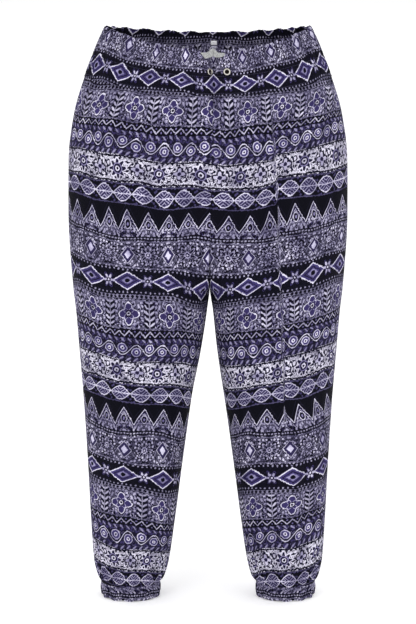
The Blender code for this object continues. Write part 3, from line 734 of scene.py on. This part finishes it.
def read_table(table, count):
    """Smooth values of a table in millimetres, at even places along its first column, as columns in metres."""
    places, *columns = np.array(table).T * MM
    at = np.linspace(places[0], places[-1], count)
    read = (curve(places, values, np.gradient(values, places), at) for values in columns)
    return [column[:, None] for column in (at, *read)]


def tape_end(side, table, material):
    """One flat end of the tie, lying on the crest beside the crease; returns the crest's y."""
    out, top, bottom = read_table(table, 40)
    front = band_place(KNOT_X + side * out, KNOT_Z + (top + bottom) / 2, FRONT, 0)[..., 1]
    crest = front.min()
    front = np.minimum(front, crest + 0.003 * np.clip((out - 0.012) / 0.01, 0, 1))
    across = np.linspace(-1, 1, 21)
    height = (top + bottom) / 2 + (top - bottom) / 2 * across
    ripple = TAPE_RIPPLE * np.cos(height * 1250 + out * 520) * np.clip((out - out[0]) / 0.004, 0, 1)
    y = front - TIE_LIFT - TAPE_THICK / 2 + ripple - TAPE_CURL * across**2
    half = TAPE_THICK / 2 * np.sqrt(1 - across**6)
    near, far = (together(KNOT_X + side * out, y + away, KNOT_Z + height) for away in (-half, half))
    spot = together(out, height)
    rings, place = (np.concatenate((a, b[:, -2:0:-1]), axis=1) for a, b in ((near, far), (spot, spot)))
    name = f"tie_end_{SIDES[side]}"
    dress(loft(f"tape_{name}", rings, place), material, "cotton_tape", name)
    return crest


def build_tie(material):
    """The tape's knot over the crease, with its two short free ends."""
    crest = min(tape_end(-1, TAPE_RIGHT, material), tape_end(1, TAPE_LEFT, material))
    x, top, bottom, swell = read_table(KNOT, 45)
    turn = np.linspace(0, TURN, 48, endpoint=False)
    up, out = (np.sign(way) * np.abs(way) ** KNOT_POWER for way in (np.sin(turn), np.cos(turn)))
    z = (top + bottom) / 2 + (top - bottom) / 2 * up
    pleat = KNOT_PLEAT * np.cos(x * 1500 - z * 900 + 0.8) * np.clip(out, 0, 1)
    deep = (swell + np.where(out > 0, 0.0006, 0)) * out + pleat * np.clip(swell / 0.002, 0, 1)
    rings = together(KNOT_X + x, crest - TIE_LIFT - TAPE_THICK / 2 - deep, KNOT_Z + z)
    dress(loft("tape_tie_knot", rings, together(z, x)), material, "cotton_tape", "tie_knot")


def build_tab(name, size, place, material):
    """A small blank tab sewn to the inside of the back waistband, with its edges turned in."""
    across, down = np.meshgrid(np.linspace(-0.5, 0.5, 25), np.linspace(0.5, -0.5, 17))
    base = band_place(place[0] + across * size[0], place[1] + down * size[1], BACK, BAND_WALL)
    normal = unit(np.cross(np.gradient(base, axis=1), np.gradient(base, axis=0)))
    normal *= np.sign(-normal[..., 1:2])
    edge = np.sqrt((1 - np.abs(2 * across) ** 8) * (1 - np.abs(2 * down) ** 8))
    thick = TAB_THICK * (0.35 + 0.65 * edge) + TAB_PUFF * np.cos(math.pi * across) * np.cos(math.pi * down)
    inner = base + normal * TAB_CLEAR
    outer = inner + normal * thick[..., None]
    piece = shell(f"cloth_{name}", outer, inner, together(across * size[0], down * size[1]))
    dress(piece, material, "label_satin", name)


def stitch_row(line, away, closed):
    """Stitches one after another along a line of points, as [stitch][ring][point]; each dips at both ends."""
    run = run_along(line[None])[0]
    spare = 0 if closed else STITCH_PITCH
    count = int((run[-1] - spare) / STITCH_PITCH)
    pitch = run[-1] / count if closed else STITCH_PITCH
    at = np.arange(count)[:, None] * pitch + spare / 2 + np.linspace(0, STITCH_LENGTH, len(STITCH_ARCH))
    at = np.mod(at, run[-1]) if closed else at
    spine, away = (np.stack([np.interp(at, run, part) for part in parts.T], axis=-1) for parts in (line, away))
    away = unit(away)
    spine = spine + away * np.array(STITCH_ARCH)[:, None] * STITCH_RADIUS
    aside = unit(np.cross(np.gradient(spine, axis=1), away))
    angle = np.arange(STITCH_SIDES)[:, None] * TURN / STITCH_SIDES
    around = aside[:, :, None] * np.cos(angle) + away[:, :, None] * np.sin(angle)
    return spine[:, :, None] + around * STITCH_RADIUS


def sew(name, rows, material):
    """One piece made of all the stitches of some rows."""
    points = np.concatenate(rows)
    rings, around = points.shape[1:3]
    first = np.arange(len(points))[:, None, None] * rings * around
    row, column = quads(rings, rings - 1, around)
    sides = (first + row * around + column % around).reshape(-1, 4).tolist()
    caps = (first + np.arange(around) + np.array([[0], [(rings - 1) * around]])).reshape(-1, around).tolist()
    dress(make_piece(name, points, sides + caps), material, "print_casing")


def build_stitching(material):
    """Thread along the elastic's channels in the waistband and round the cuffs."""
    across = np.linspace(-1, 1, 1400)
    rows = [
        stitch_row(band_surface(face, across, z_row, 0), outward(face, *band_turn(across), z_row), False)
        for z_row in BAND_STITCH_ROWS
        for face in FACES
    ]
    sew("waist_stitching", rows, material)
    turn = np.linspace(0, 1, 700)
    for side, side_name in SIDES.items():
        line, inside = (cuff_surface(side, turn, CUFF_STITCH, inset) for inset in (0, CUFF_WALL))
        sew(f"cuff_stitching_{side_name}", [stitch_row(line, line - inside, True)], material)


# ---- numbers worked out by shader nodes
class Num:
    """A number that shader nodes work out at each place of a surface."""

    def __init__(self, tree, socket):
        self.tree, self.socket = tree, socket

    def node(self, kind, *values, **settings):
        """Add a node with numbers, Nums or None as its inputs in their order; returns its first output."""
        made = self.tree.nodes.new(kind)
        for name, value in settings.items():
            setattr(made, name, value)
        for k, value in enumerate(values):
            if isinstance(value, Num):
                self.tree.links.new(value.socket, made.inputs[k])
            elif value is not None:
                made.inputs[k].default_value = value
        return Num(self.tree, made.outputs[0])

    def math(self, operation, *others):
        """Add a math node."""
        return self.node("ShaderNodeMath", self, *others, operation=operation)

    __add__ = partialmethod(math, "ADD")
    __sub__ = partialmethod(math, "SUBTRACT")
    __mul__ = partialmethod(math, "MULTIPLY")
    absolute = partialmethod(math, "ABSOLUTE")
    least = partialmethod(math, "MINIMUM")
    most = partialmethod(math, "MAXIMUM")

    def __rsub__(self, other):
        return self.math("MULTIPLY_ADD", -1, other)

    def cosine(self, per_turn, phase=0):
        """Cosine of the number, which goes round once for each per_turn."""
        return self.math("MULTIPLY_ADD", TURN / per_turn, phase).math("COSINE")

    def fold(self, width):
        """Distance to the nearest whole number of widths."""
        return self.math("PINGPONG", width / 2)

    def wrap(self, width):
        """Signed distance from the nearest whole number of widths."""
        return self.math("WRAP", width / 2, -width / 2)

    def ramp(self, zero, one):
        """0 at and beyond one number, 1 at and beyond another, and straight between."""
        return self.node("ShaderNodeMapRange", self, zero, one)

    def blend(self, under, over):
        """under where this number is 0, over where it is 1."""
        return self.node("ShaderNodeMix", self, None, under, over)


def distance_to(x, y):
    """Distance from the middle of a motif."""
    return (x * x + y * y).math("SQRT")


def polar(x, y):
    """Distance and direction from the middle of a motif."""
    return distance_to(x, y), y.math("ARCTAN2", x)


# ---- the print
# All of the print is in millimetres. v is the distance down from a band's middle.
INK_EDGE = 0.4  # how soft the inked edges are
CELL = 72  # the main motifs come this far apart, and every band mirrors at them


def inked(distance):
    """1 where a signed distance is inside its shape."""
    return distance.ramp(INK_EDGE, -INK_EDGE)


class Ink:
    """The print's tone, from 0 navy to 1 white, and its hue, from 0 grey to 1 violet."""

    def __init__(self, tone, hue):
        self.tone, self.hue = tone, hue

    def paint(self, mask, tone, hue):
        """Paint where a mask is 1."""
        self.tone, self.hue = mask.blend(self.tone, tone), mask.blend(self.hue, hue)

    def fill(self, distance, tone, hue):
        """Paint the inside of a shape."""
        self.paint(inked(distance), tone, hue)

    def line(self, distance, width, tone, hue):
        """Paint a line along the edge of a shape."""
        self.fill(distance.absolute() - width / 2, tone, hue)


class Lace:
    """Curling lines and dots that fill the grounds, the same for every band."""

    def __init__(self, curl, dots):
        self.light, self.dark = curl.ramp(0.36, 0.68), curl.ramp(-0.05, -0.4)
        self.thin, self.dots = curl.ramp(0.72, 0.92), dots

    def lay(self, ink, light, dark, dot):
        """Paint all of it."""
        ink.paint(self.dark, dark, 0.5)
        ink.paint(self.light, light, 0.25)
        ink.paint(self.dots, dot, 0.3)


def lozenges(s, v, lace):
    """A chain of lozenges and small flowers on the dark ground."""
    x, y = s.fold(CELL), v.absolute()
    ink = Ink(lace.thin * 0.13 + 0.01, 0.4)
    shape = (x * 0.6 + y) - 16.5
    ink.fill(shape - 2.2, 0.05, 0.5)
    ink.fill(shape, 0.34, 1)
    ink.line(shape, 2.4, 0.93, 0.1)
    ink.line(shape + 6, 1.7, 0.1, 0.6)
    ink.fill(shape + 9.5, 0.7, 0.5)
    ink.fill(distance_to(x * 0.8, y) - 3.6, 0.03, 0.5)
    far = CELL / 2 - x
    away, turn = polar(far, y)
    flower = away - 7.2 - turn.cosine(math.pi / 3) * 3.4
    ink.line(flower - 2.4, 1.3, 0.42, 0.9)
    ink.fill(flower, 0.76, 0.35)
    ink.fill(away - 3.9, 0.04, 0.5)
    ink.fill(away - 1.9, 0.86, 0.3)
    ink.fill(distance_to(s.wrap(8), y - 20.4) - 1.7, 0.7, 0.2)
    return ink


def beads(s, v, lace):
    """A narrow pale line with dark beads."""
    ink = Ink(0.62, 0.2)
    ink.fill(distance_to(s.wrap(8), v) - 2.5, 0.04, 0.4)
    ink.line(v.absolute() - 4.2, 1.8, 0.03, 0.4)
    return ink


def quatrefoils(s, v, lace):
    """Large four-petalled flowers and leafy stems on violet lace."""
    x, y = s.fold(CELL), v.absolute()
    ink = Ink(0.24, 1)
    lace.lay(ink, 0.68, 0.04, 0.76)
    away, turn = polar(x, y)
    petals = turn.cosine(math.pi / 2)
    flower = away - 15 - petals * 4
    ink.fill(flower - 2.4, 0.03, 0.6)
    ink.fill(flower, 0.3, 1)
    ink.line(flower, 2.2, 0.92, 0.12)
    ink.line(away - 8.4 + petals * 3.6, 1.9, 0.78, 0.3)
    ink.fill(away - 5.6, 0.03, 0.5)
    ink.line(away - 3, 1.7, 0.88, 0.1)
    far = CELL / 2 - x
    ink.fill(far - 9.5, 0.06, 0.5)
    leaf = distance_to((far - 5) * 0.52, (v + far * 0.7).wrap(9.5)) - 2.4
    ink.fill(leaf.most(far - 9), 0.8, 0.25)
    ink.fill(far - 0.9, 0.74, 0.1)
    ink.line(y - 23, 1.8, 0.55, 0.2)
    return ink


def zigzag(s, v, lace):
    """A pale zigzag on the dark ground."""
    ink = Ink(0.02, 0.4)
    x = s.fold(18)
    ink.line(v - x * 0.95 + 4.3, 2.9, 0.78, 0.2)
    ink.fill(distance_to(x, v - 3.2) - 1.5, 0.6, 0.7)
    ink.fill(distance_to(9 - x, v + 3.2) - 1.5, 0.6, 0.7)
    return ink


def scrolls(s, v, lace):
    """A winding vine with a berry in each bend."""
    y = v.absolute()
    ink = Ink(0.1, 0.6)
    ink.paint(lace.thin, 0.5, 0.4)
    ink.paint(lace.dots, 0.3, 1)
    vine = v - (s + 12).cosine(48) * 10
    berry = distance_to((s + 12).wrap(48), v + 3).least(distance_to((s + 36).wrap(48), v - 3))
    ink.line(vine, 5.4, 0.03, 0.5)
    ink.line(vine, 2.3, 0.84, 0.2)
    ink.fill(berry - 10, 0.04, 0.5)
    ink.fill(berry - 8, 0.33, 1)
    ink.line(berry - 7.6, 2, 0.78, 0.3)
    ink.fill(berry - 3.6, 0.9, 0.2)
    ink.fill(berry - 1.5, 0.04, 0.4)
    tip = distance_to((s.wrap(12) + y * 0.8 - 14).wrap(12) * 0.9, (y - 17.4) * 0.55) - 2
    ink.fill(tip, 0.66, 0.4)
    return ink


def rosettes(s, v, lace):
    """Dark rosettes on the pale ground."""
    x, y = (s + 18).fold(CELL), v.absolute()
    ink = Ink(0.9, 0.1)
    ink.paint(lace.dark, 0.22, 0.35)
    ink.paint(lace.dots, 0.08, 0.5)
    away, turn = polar(x, y)
    flower = away - 12.6 - turn.cosine(math.pi / 4) * 3.4
    ink.fill(flower - 3.2, 0.88, 0.1)
    ink.fill(flower, 0.12, 0.9)
    ink.line(away - 8.2, 1.8, 0.66, 0.5)
    ink.fill(away - 4.4, 0.88, 0.1)
    ink.fill(away - 2.1, 0.04, 0.4)
    far = CELL / 2 - x
    away, turn = polar(far, y)
    small = away - 9 - turn.cosine(math.pi / 2) * 3.2
    ink.line(small, 2.4, 0.08, 0.6)
    ink.fill(small + 1.2, 0.8, 0.3)
    ink.fill(away - 3.4, 0.14, 1)
    ink.line(y - 20.2, 2, 0.03, 0.4)
    return ink


def leaves(s, v, lace):
    """Two crossing vines that close round a row of leaves."""
    y = v.absolute()
    ink = Ink(0.03, 0.5)
    ink.paint(lace.dots, 0.42, 0.5)
    leaf = y - (s + 9).cosine(CELL).absolute() * 13.5
    vein = (y * 1.1 - (s + 9).fold(CELL / 2)).wrap(6.5)
    ink.fill(leaf + 1.6, 0.22, 1)
    ink.fill(vein.absolute().most(leaf + 3.6) - 1.2, 0.72, 0.3)
    ink.line(leaf + 0.6, 2.3, 0.86, 0.2)
    ink.fill(y.most(leaf) - 0.9, 0.84, 0.2)
    ink.line(y - 16.6, 1.7, 0.5, 0.3)
    return ink


def pennants(s, v, lace):
    """Dark pennants that hang into violet lace."""
    x = (s + 18).fold(CELL / 2)
    ink = Ink(0.22, 1)
    lace.lay(ink, 0.64, 0.04, 0.74)
    edge = v + x * 1.7 - 14
    ink.line(edge - 8.6, 1.7, 0.8, 0.2)
    ink.fill(edge - 4.2, 0.16, 1)
    ink.line(edge, 2.4, 0.9, 0.1)
    ink.fill(edge + 2.2, 0, 0.3)
    ink.line(edge + 10.5, 1.3, 0.16, 0.4)
    drop = distance_to((18 - x) * 1.5, v - 4) - 7.4
    ink.fill(drop - 1.5, 0.04, 0.5)
    ink.line(drop, 2, 0.84, 0.25)
    ink.fill(drop + 4.6, 0.62, 0.6)
    return ink


def strokes(s, v, lace):
    """A narrow row of short pale strokes."""
    ink = Ink(0.03, 0.4)
    ink.fill((s.wrap(6).absolute() - 1.9).most(v.absolute() - 1.3), 0.72, 0.2)
    return ink


def stars(s, v, lace):
    """Eight-rayed stars and small lozenges on grey lace."""
    x, y = s.fold(CELL), v.absolute()
    ink = Ink(0.2, 0.35)
    lace.lay(ink, 0.58, 0.05, 0.8)
    far = CELL / 2 - x
    away, turn = polar(far, y)
    star = away - 11.6 - turn.cosine(math.pi / 4) * 5.4
    ink.fill(star - 2.8, 0.04, 0.5)
    ink.fill(star, 0.72, 0.3)
    ink.fill(star + 3.4, 0.1, 0.9)
    ink.line(away - 4.4, 1.8, 0.8, 0.3)
    ink.fill(away - 1.8, 0.86, 0.2)
    near = (x * 1.3 + y) - 16
    ink.fill(near - 1.8, 0.04, 0.5)
    ink.line(near, 2.3, 0.8, 0.25)
    ink.fill(near + 2.2, 0.24, 1)
    ink.fill(near + 8, 0.84, 0.4)
    ink.line(y - 23.4, 1.4, 0.6, 0.2)
    return ink


# The bands from the top down, and the height of each.
PRINT = (
    (lozenges, 46), (beads, 9), (quatrefoils, 50), (zigzag, 14), (scrolls, 42),
    (rosettes, 46), (leaves, 36), (pennants, 50), (strokes, 7), (stars, 52),
)
# Tone, then red, green and blue of the ink on the cloth as display values from 0 to 255.
GREY_INKS = (
    (0.00, 6, 6, 14), (0.2, 28, 27, 40), (0.5, 59, 57, 71), (0.8, 143, 140, 157), (1.00, 210, 207, 222),
)
VIOLET_INKS = (
    (0.00, 7, 6, 19), (0.2, 38, 33, 64), (0.5, 69, 60, 118), (0.8, 143, 134, 186), (1.00, 207, 201, 233),
)
REVERSE_COLOUR = (0.42, 0.41, 0.47, 1)  # the cloth's reverse tends to this by the share below
REVERSE_SHARE = 0.45


# ---- materials
def linear(colour):
    """The colour of display values from 0 to 255."""
    values = (value / 255 for value in colour)
    return (*(v / 12.92 if v <= 0.04045 else ((v + 0.055) / 1.055) ** 2.4 for v in values), 1)


def new_material(name, roughness, specular=0.5):
    """A Principled material; returns it, its nodes and its shader."""
    made = bpy.data.materials.new(name)
    made.use_nodes = True
    shader = made.node_tree.nodes["Principled BSDF"]
    shader.inputs["Roughness"].default_value = roughness
    shader.inputs["Specular IOR Level"].default_value = specular
    return made, made.node_tree, shader


def cloth_place(tree):
    """The place on the flat cloth in metres, as a vector and as its two parts."""
    where = tree.nodes.new("ShaderNodeUVMap")
    where.uv_map = "cloth"
    parts = tree.nodes.new("ShaderNodeSeparateXYZ")
    tree.links.new(where.outputs[0], parts.inputs[0])
    return where.outputs[0], Num(tree, parts.outputs[0]), Num(tree, parts.outputs[1])


def noise(tree, vector, scale, detail, dimensions="2D", distortion=0):
    """Procedural noise around 0.5."""
    made = tree.nodes.new("ShaderNodeTexNoise")
    made.noise_dimensions = dimensions
    tree.links.new(vector, made.inputs["Vector"])
    for name, value in (("Scale", scale), ("Detail", detail), ("Distortion", distortion)):
        made.inputs[name].default_value = value
    return Num(tree, made.outputs["Fac"])


def ink_ramp(tree, number, table):
    """A colour read from a table of inks."""
    made = tree.nodes.new("ShaderNodeValToRGB")
    tree.links.new(number.socket, made.inputs[0])
    stops = made.color_ramp.elements
    while len(stops) < len(table):
        stops.new(0.5)
    for stop, (tone, *colour) in zip(stops, table):
        stop.position = tone
        stop.color = linear(colour)
    return made.outputs[0]


def mix_colours(tree, share, low, high):
    """A colour between two, each of which is a socket or a constant colour."""
    mixed = tree.nodes.new("ShaderNodeMix")
    mixed.data_type = "RGBA"
    tree.links.new(share.socket, mixed.inputs[0])
    for socket, colour in ((mixed.inputs[6], low), (mixed.inputs[7], high)):
        if isinstance(colour, tuple):
            socket.default_value = colour
        else:
            tree.links.new(colour, socket)
    return mixed.outputs[2]


def raise_surface(tree, height, distance):
    """Bump of a height from 0 to 1 over a distance."""
    bump = tree.nodes.new("ShaderNodeBump")
    bump.inputs["Distance"].default_value = distance
    tree.links.new(height.socket, bump.inputs["Height"])
    tree.links.new(bump.outputs[0], tree.nodes["Principled BSDF"].inputs["Normal"])


def printed_material(name):
    """The printed cloth: ink, weave and fine crinkles."""
    made, tree, shader = new_material(name, 0.9, 0.08)
    vector, across, down = cloth_place(tree)
    ragged, wander = noise(tree, vector, 260, 1), noise(tree, vector, 9, 1.6)
    s = across * 1000 + (wander - 0.5) * 12 - (ragged - 0.5) * 2.4
    t = down * 1000 + (wander - 0.5) * 20 + (ragged - 0.5) * 3.2
    t = t.math("FLOORED_MODULO", sum(height for _, height in PRINT))
    mirrored = t.node("ShaderNodeCombineXYZ", s.fold(CELL), t)
    curl = noise(tree, mirrored.socket, 0.088, 0, distortion=0.9)
    cells = mirrored.node("ShaderNodeTexVoronoi", mirrored, voronoi_dimensions="2D")
    cells.socket.node.inputs["Scale"].default_value = 0.135
    cells.socket.node.inputs["Randomness"].default_value = 0.75
    lace = Lace(curl.cosine(0.2), cells.ramp(0.3, 0.22))
    printed = Ink(0, 0)
    top = 0
    for motif, height in PRINT:
        v = t - (top + height / 2)
        ink = motif(s, v, lace)
        printed.fill(v.absolute() - height / 2, ink.tone, ink.hue)
        top += height
    grain, faded = noise(tree, vector, 900, 2), noise(tree, vector, 34, 3)
    tone = (printed.tone - 0.04) * (faded * 0.8 + 0.72) + (grain - 0.5) * 0.22
    grey, violet = ink_ramp(tree, tone, GREY_INKS), ink_ramp(tree, tone, VIOLET_INKS)
    inside = tree.nodes.new("ShaderNodeAttribute")
    inside.attribute_name = "inside"
    share = Num(tree, inside.outputs["Fac"]) * REVERSE_SHARE
    colour = mix_colours(tree, share, mix_colours(tree, printed.hue, grey, violet), REVERSE_COLOUR)
    tree.links.new(colour, shader.inputs["Base Color"])
    thread = (s.cosine(0.42) * 0.5).most(down.cosine(0.00042) * 0.5)
    soft = noise(tree, vector, 85, 3, distortion=0.8)
    raise_surface(tree, soft * 1.8 + thread * 0.08, 0.001)
    return made


def woven_material(name, low, high, roughness, sheen, pitch):
    """A plain woven cloth or tape in one colour, with uneven yarns."""
    made, tree, shader = new_material(name, roughness, 0.2)
    shader.inputs["Sheen Weight"].default_value = sheen
    vector, s, t = cloth_place(tree)
    rib = (s + t).cosine(pitch) * 0.5 + 0.5
    fine = t.cosine(pitch * 0.5) * 0.5 + 0.5
    uneven = noise(tree, vector, 420, 3)
    share = (rib * 0.35 + fine * 0.15 + uneven * 0.6).least(1)
    tree.links.new(mix_colours(tree, share, linear(low), linear(high)), shader.inputs["Base Color"])
    raise_surface(tree, rib * 0.6 + fine * 0.3 + uneven * 0.4, pitch * 0.25)
    return made


def metal_material(name, low, high, roughness):
    """Pressed metal with fine handling marks."""
    made, tree, shader = new_material(name, roughness)
    shader.inputs["Metallic"].default_value = 1
    where = tree.nodes.new("ShaderNodeTexCoord").outputs["Object"]
    cloud, marks = noise(tree, where, 600, 4, "3D"), noise(tree, where, 2600, 2, "3D")
    tree.links.new(mix_colours(tree, cloud, linear(low), linear(high)), shader.inputs["Base Color"])
    tree.links.new((cloud * 0.25 + (roughness - 0.12)).socket, shader.inputs["Roughness"])
    raise_surface(tree, marks * 0.5, 0.00005)
    return made


def thread_material(name, low, high):
    """Sewing thread, twisted along its length."""
    made, tree, shader = new_material(name, 0.7, 0.2)
    where = tree.nodes.new("ShaderNodeTexCoord").outputs["Object"]
    ply = noise(tree, where, 2400, 1, "3D")
    tree.links.new(mix_colours(tree, ply, linear(low), linear(high)), shader.inputs["Base Color"])
    raise_surface(tree, ply, 0.0001)
    return made


# ---- stage, light and camera
CAMERA_PLACE = (0, -3.7, 0.1)
CAMERA_AIM = (0, 0, -0.4604)
CAMERA_LENS = 121.57
SENSOR_WIDTH = 36
FLOOR_SIZE = 400
FLOOR_Z = CUFF_BOTTOM - 0.0014
FLOOR_GLOW = 0.24
WHITE = (1, 1, 1, 1)
LIGHT_AIM = (0, 0, -0.45)
LIGHTS = (("key", (-1.6, -3.2, 1.6), 2.2, 42), ("fill", (2.2, -2.6, 0.6), 2.4, 18))  # place, size, power


def look(thing, place, aim):
    """Put a light or camera at a place and turn it to another."""
    thing.location = place
    thing.rotation_mode = "QUATERNION"
    thing.rotation_quaternion = (Vector(aim) - Vector(place)).to_track_quat("-Z", "Y")


def build_stage():
    """A pale floor that fills the view, a white surround and soft lights."""
    bpy.ops.mesh.primitive_plane_add(size=FLOOR_SIZE, location=(0, 0, FLOOR_Z))
    floor = bpy.context.object
    floor.name = "floor"
    white, _, shader = new_material("floor_white", 0.9)
    shader.inputs["Base Color"].default_value = (0.97, 0.97, 0.97, 1)
    shader.inputs["Emission Color"].default_value = WHITE
    shader.inputs["Emission Strength"].default_value = FLOOR_GLOW
    floor.data.materials.append(white)
    world = bpy.data.worlds.new("surround")
    world.use_nodes = True
    world.node_tree.nodes["Background"].inputs["Color"].default_value = WHITE
    world.node_tree.nodes["Background"].inputs["Strength"].default_value = 1
    bpy.context.scene.world = world
    bpy.context.scene.view_settings.view_transform = "Standard"
    for name, place, size, power in LIGHTS:
        light = bpy.data.lights.new(name, "AREA")
        light.shape = "DISK"
        light.size = size
        light.energy = power
        look(put(name, light), place, LIGHT_AIM)


def build_camera():
    """The camera, at the photograph's height and distance."""
    data = bpy.data.cameras.new("camera")
    data.lens = CAMERA_LENS
    data.sensor_width = SENSOR_WIDTH
    camera = put("camera", data)
    look(camera, CAMERA_PLACE, CAMERA_AIM)
    bpy.context.scene.camera = camera


build_camera()
build_stage()
cloth = printed_material("printed_viscose")
# near-black painted shade for the eyelets' holes, drawn as a dark weave
hole = woven_material("hole_shadow", (4, 3, 3), (26, 20, 16), 0.95, 0, 0.0006)
thread = thread_material("thread_navy", (40, 38, 58), (84, 80, 110))
brass = metal_material("eyelet_brass", (160, 156, 147), (230, 226, 218), 0.36)
tape = woven_material("tape_cotton", (74, 74, 76), (205, 206, 206), 0.9, 0.08, 0.0011)
satin = woven_material("label_satin", (222, 222, 228), (246, 246, 250), 0.45, 0, 0.0005)
# the size tab's satin is darker, greyer and more violet than the label's
greyed_violet_satin = woven_material("size_tab_satin", (150, 148, 168), (204, 202, 220), 0.5, 0, 0.0005)
build_panels(cloth)
eyelet_seats = build_waistband(cloth, hole)
build_cuffs(cloth)
build_eyelets(eyelet_seats, brass)
build_tie(tape)
build_tab("label", (0.011, 0.0075), (0.0105, 0.0113), satin)
build_tab("size_tab", (0.009, 0.0048), (0.011, 0.0035), greyed_violet_satin)
build_stitching(thread)
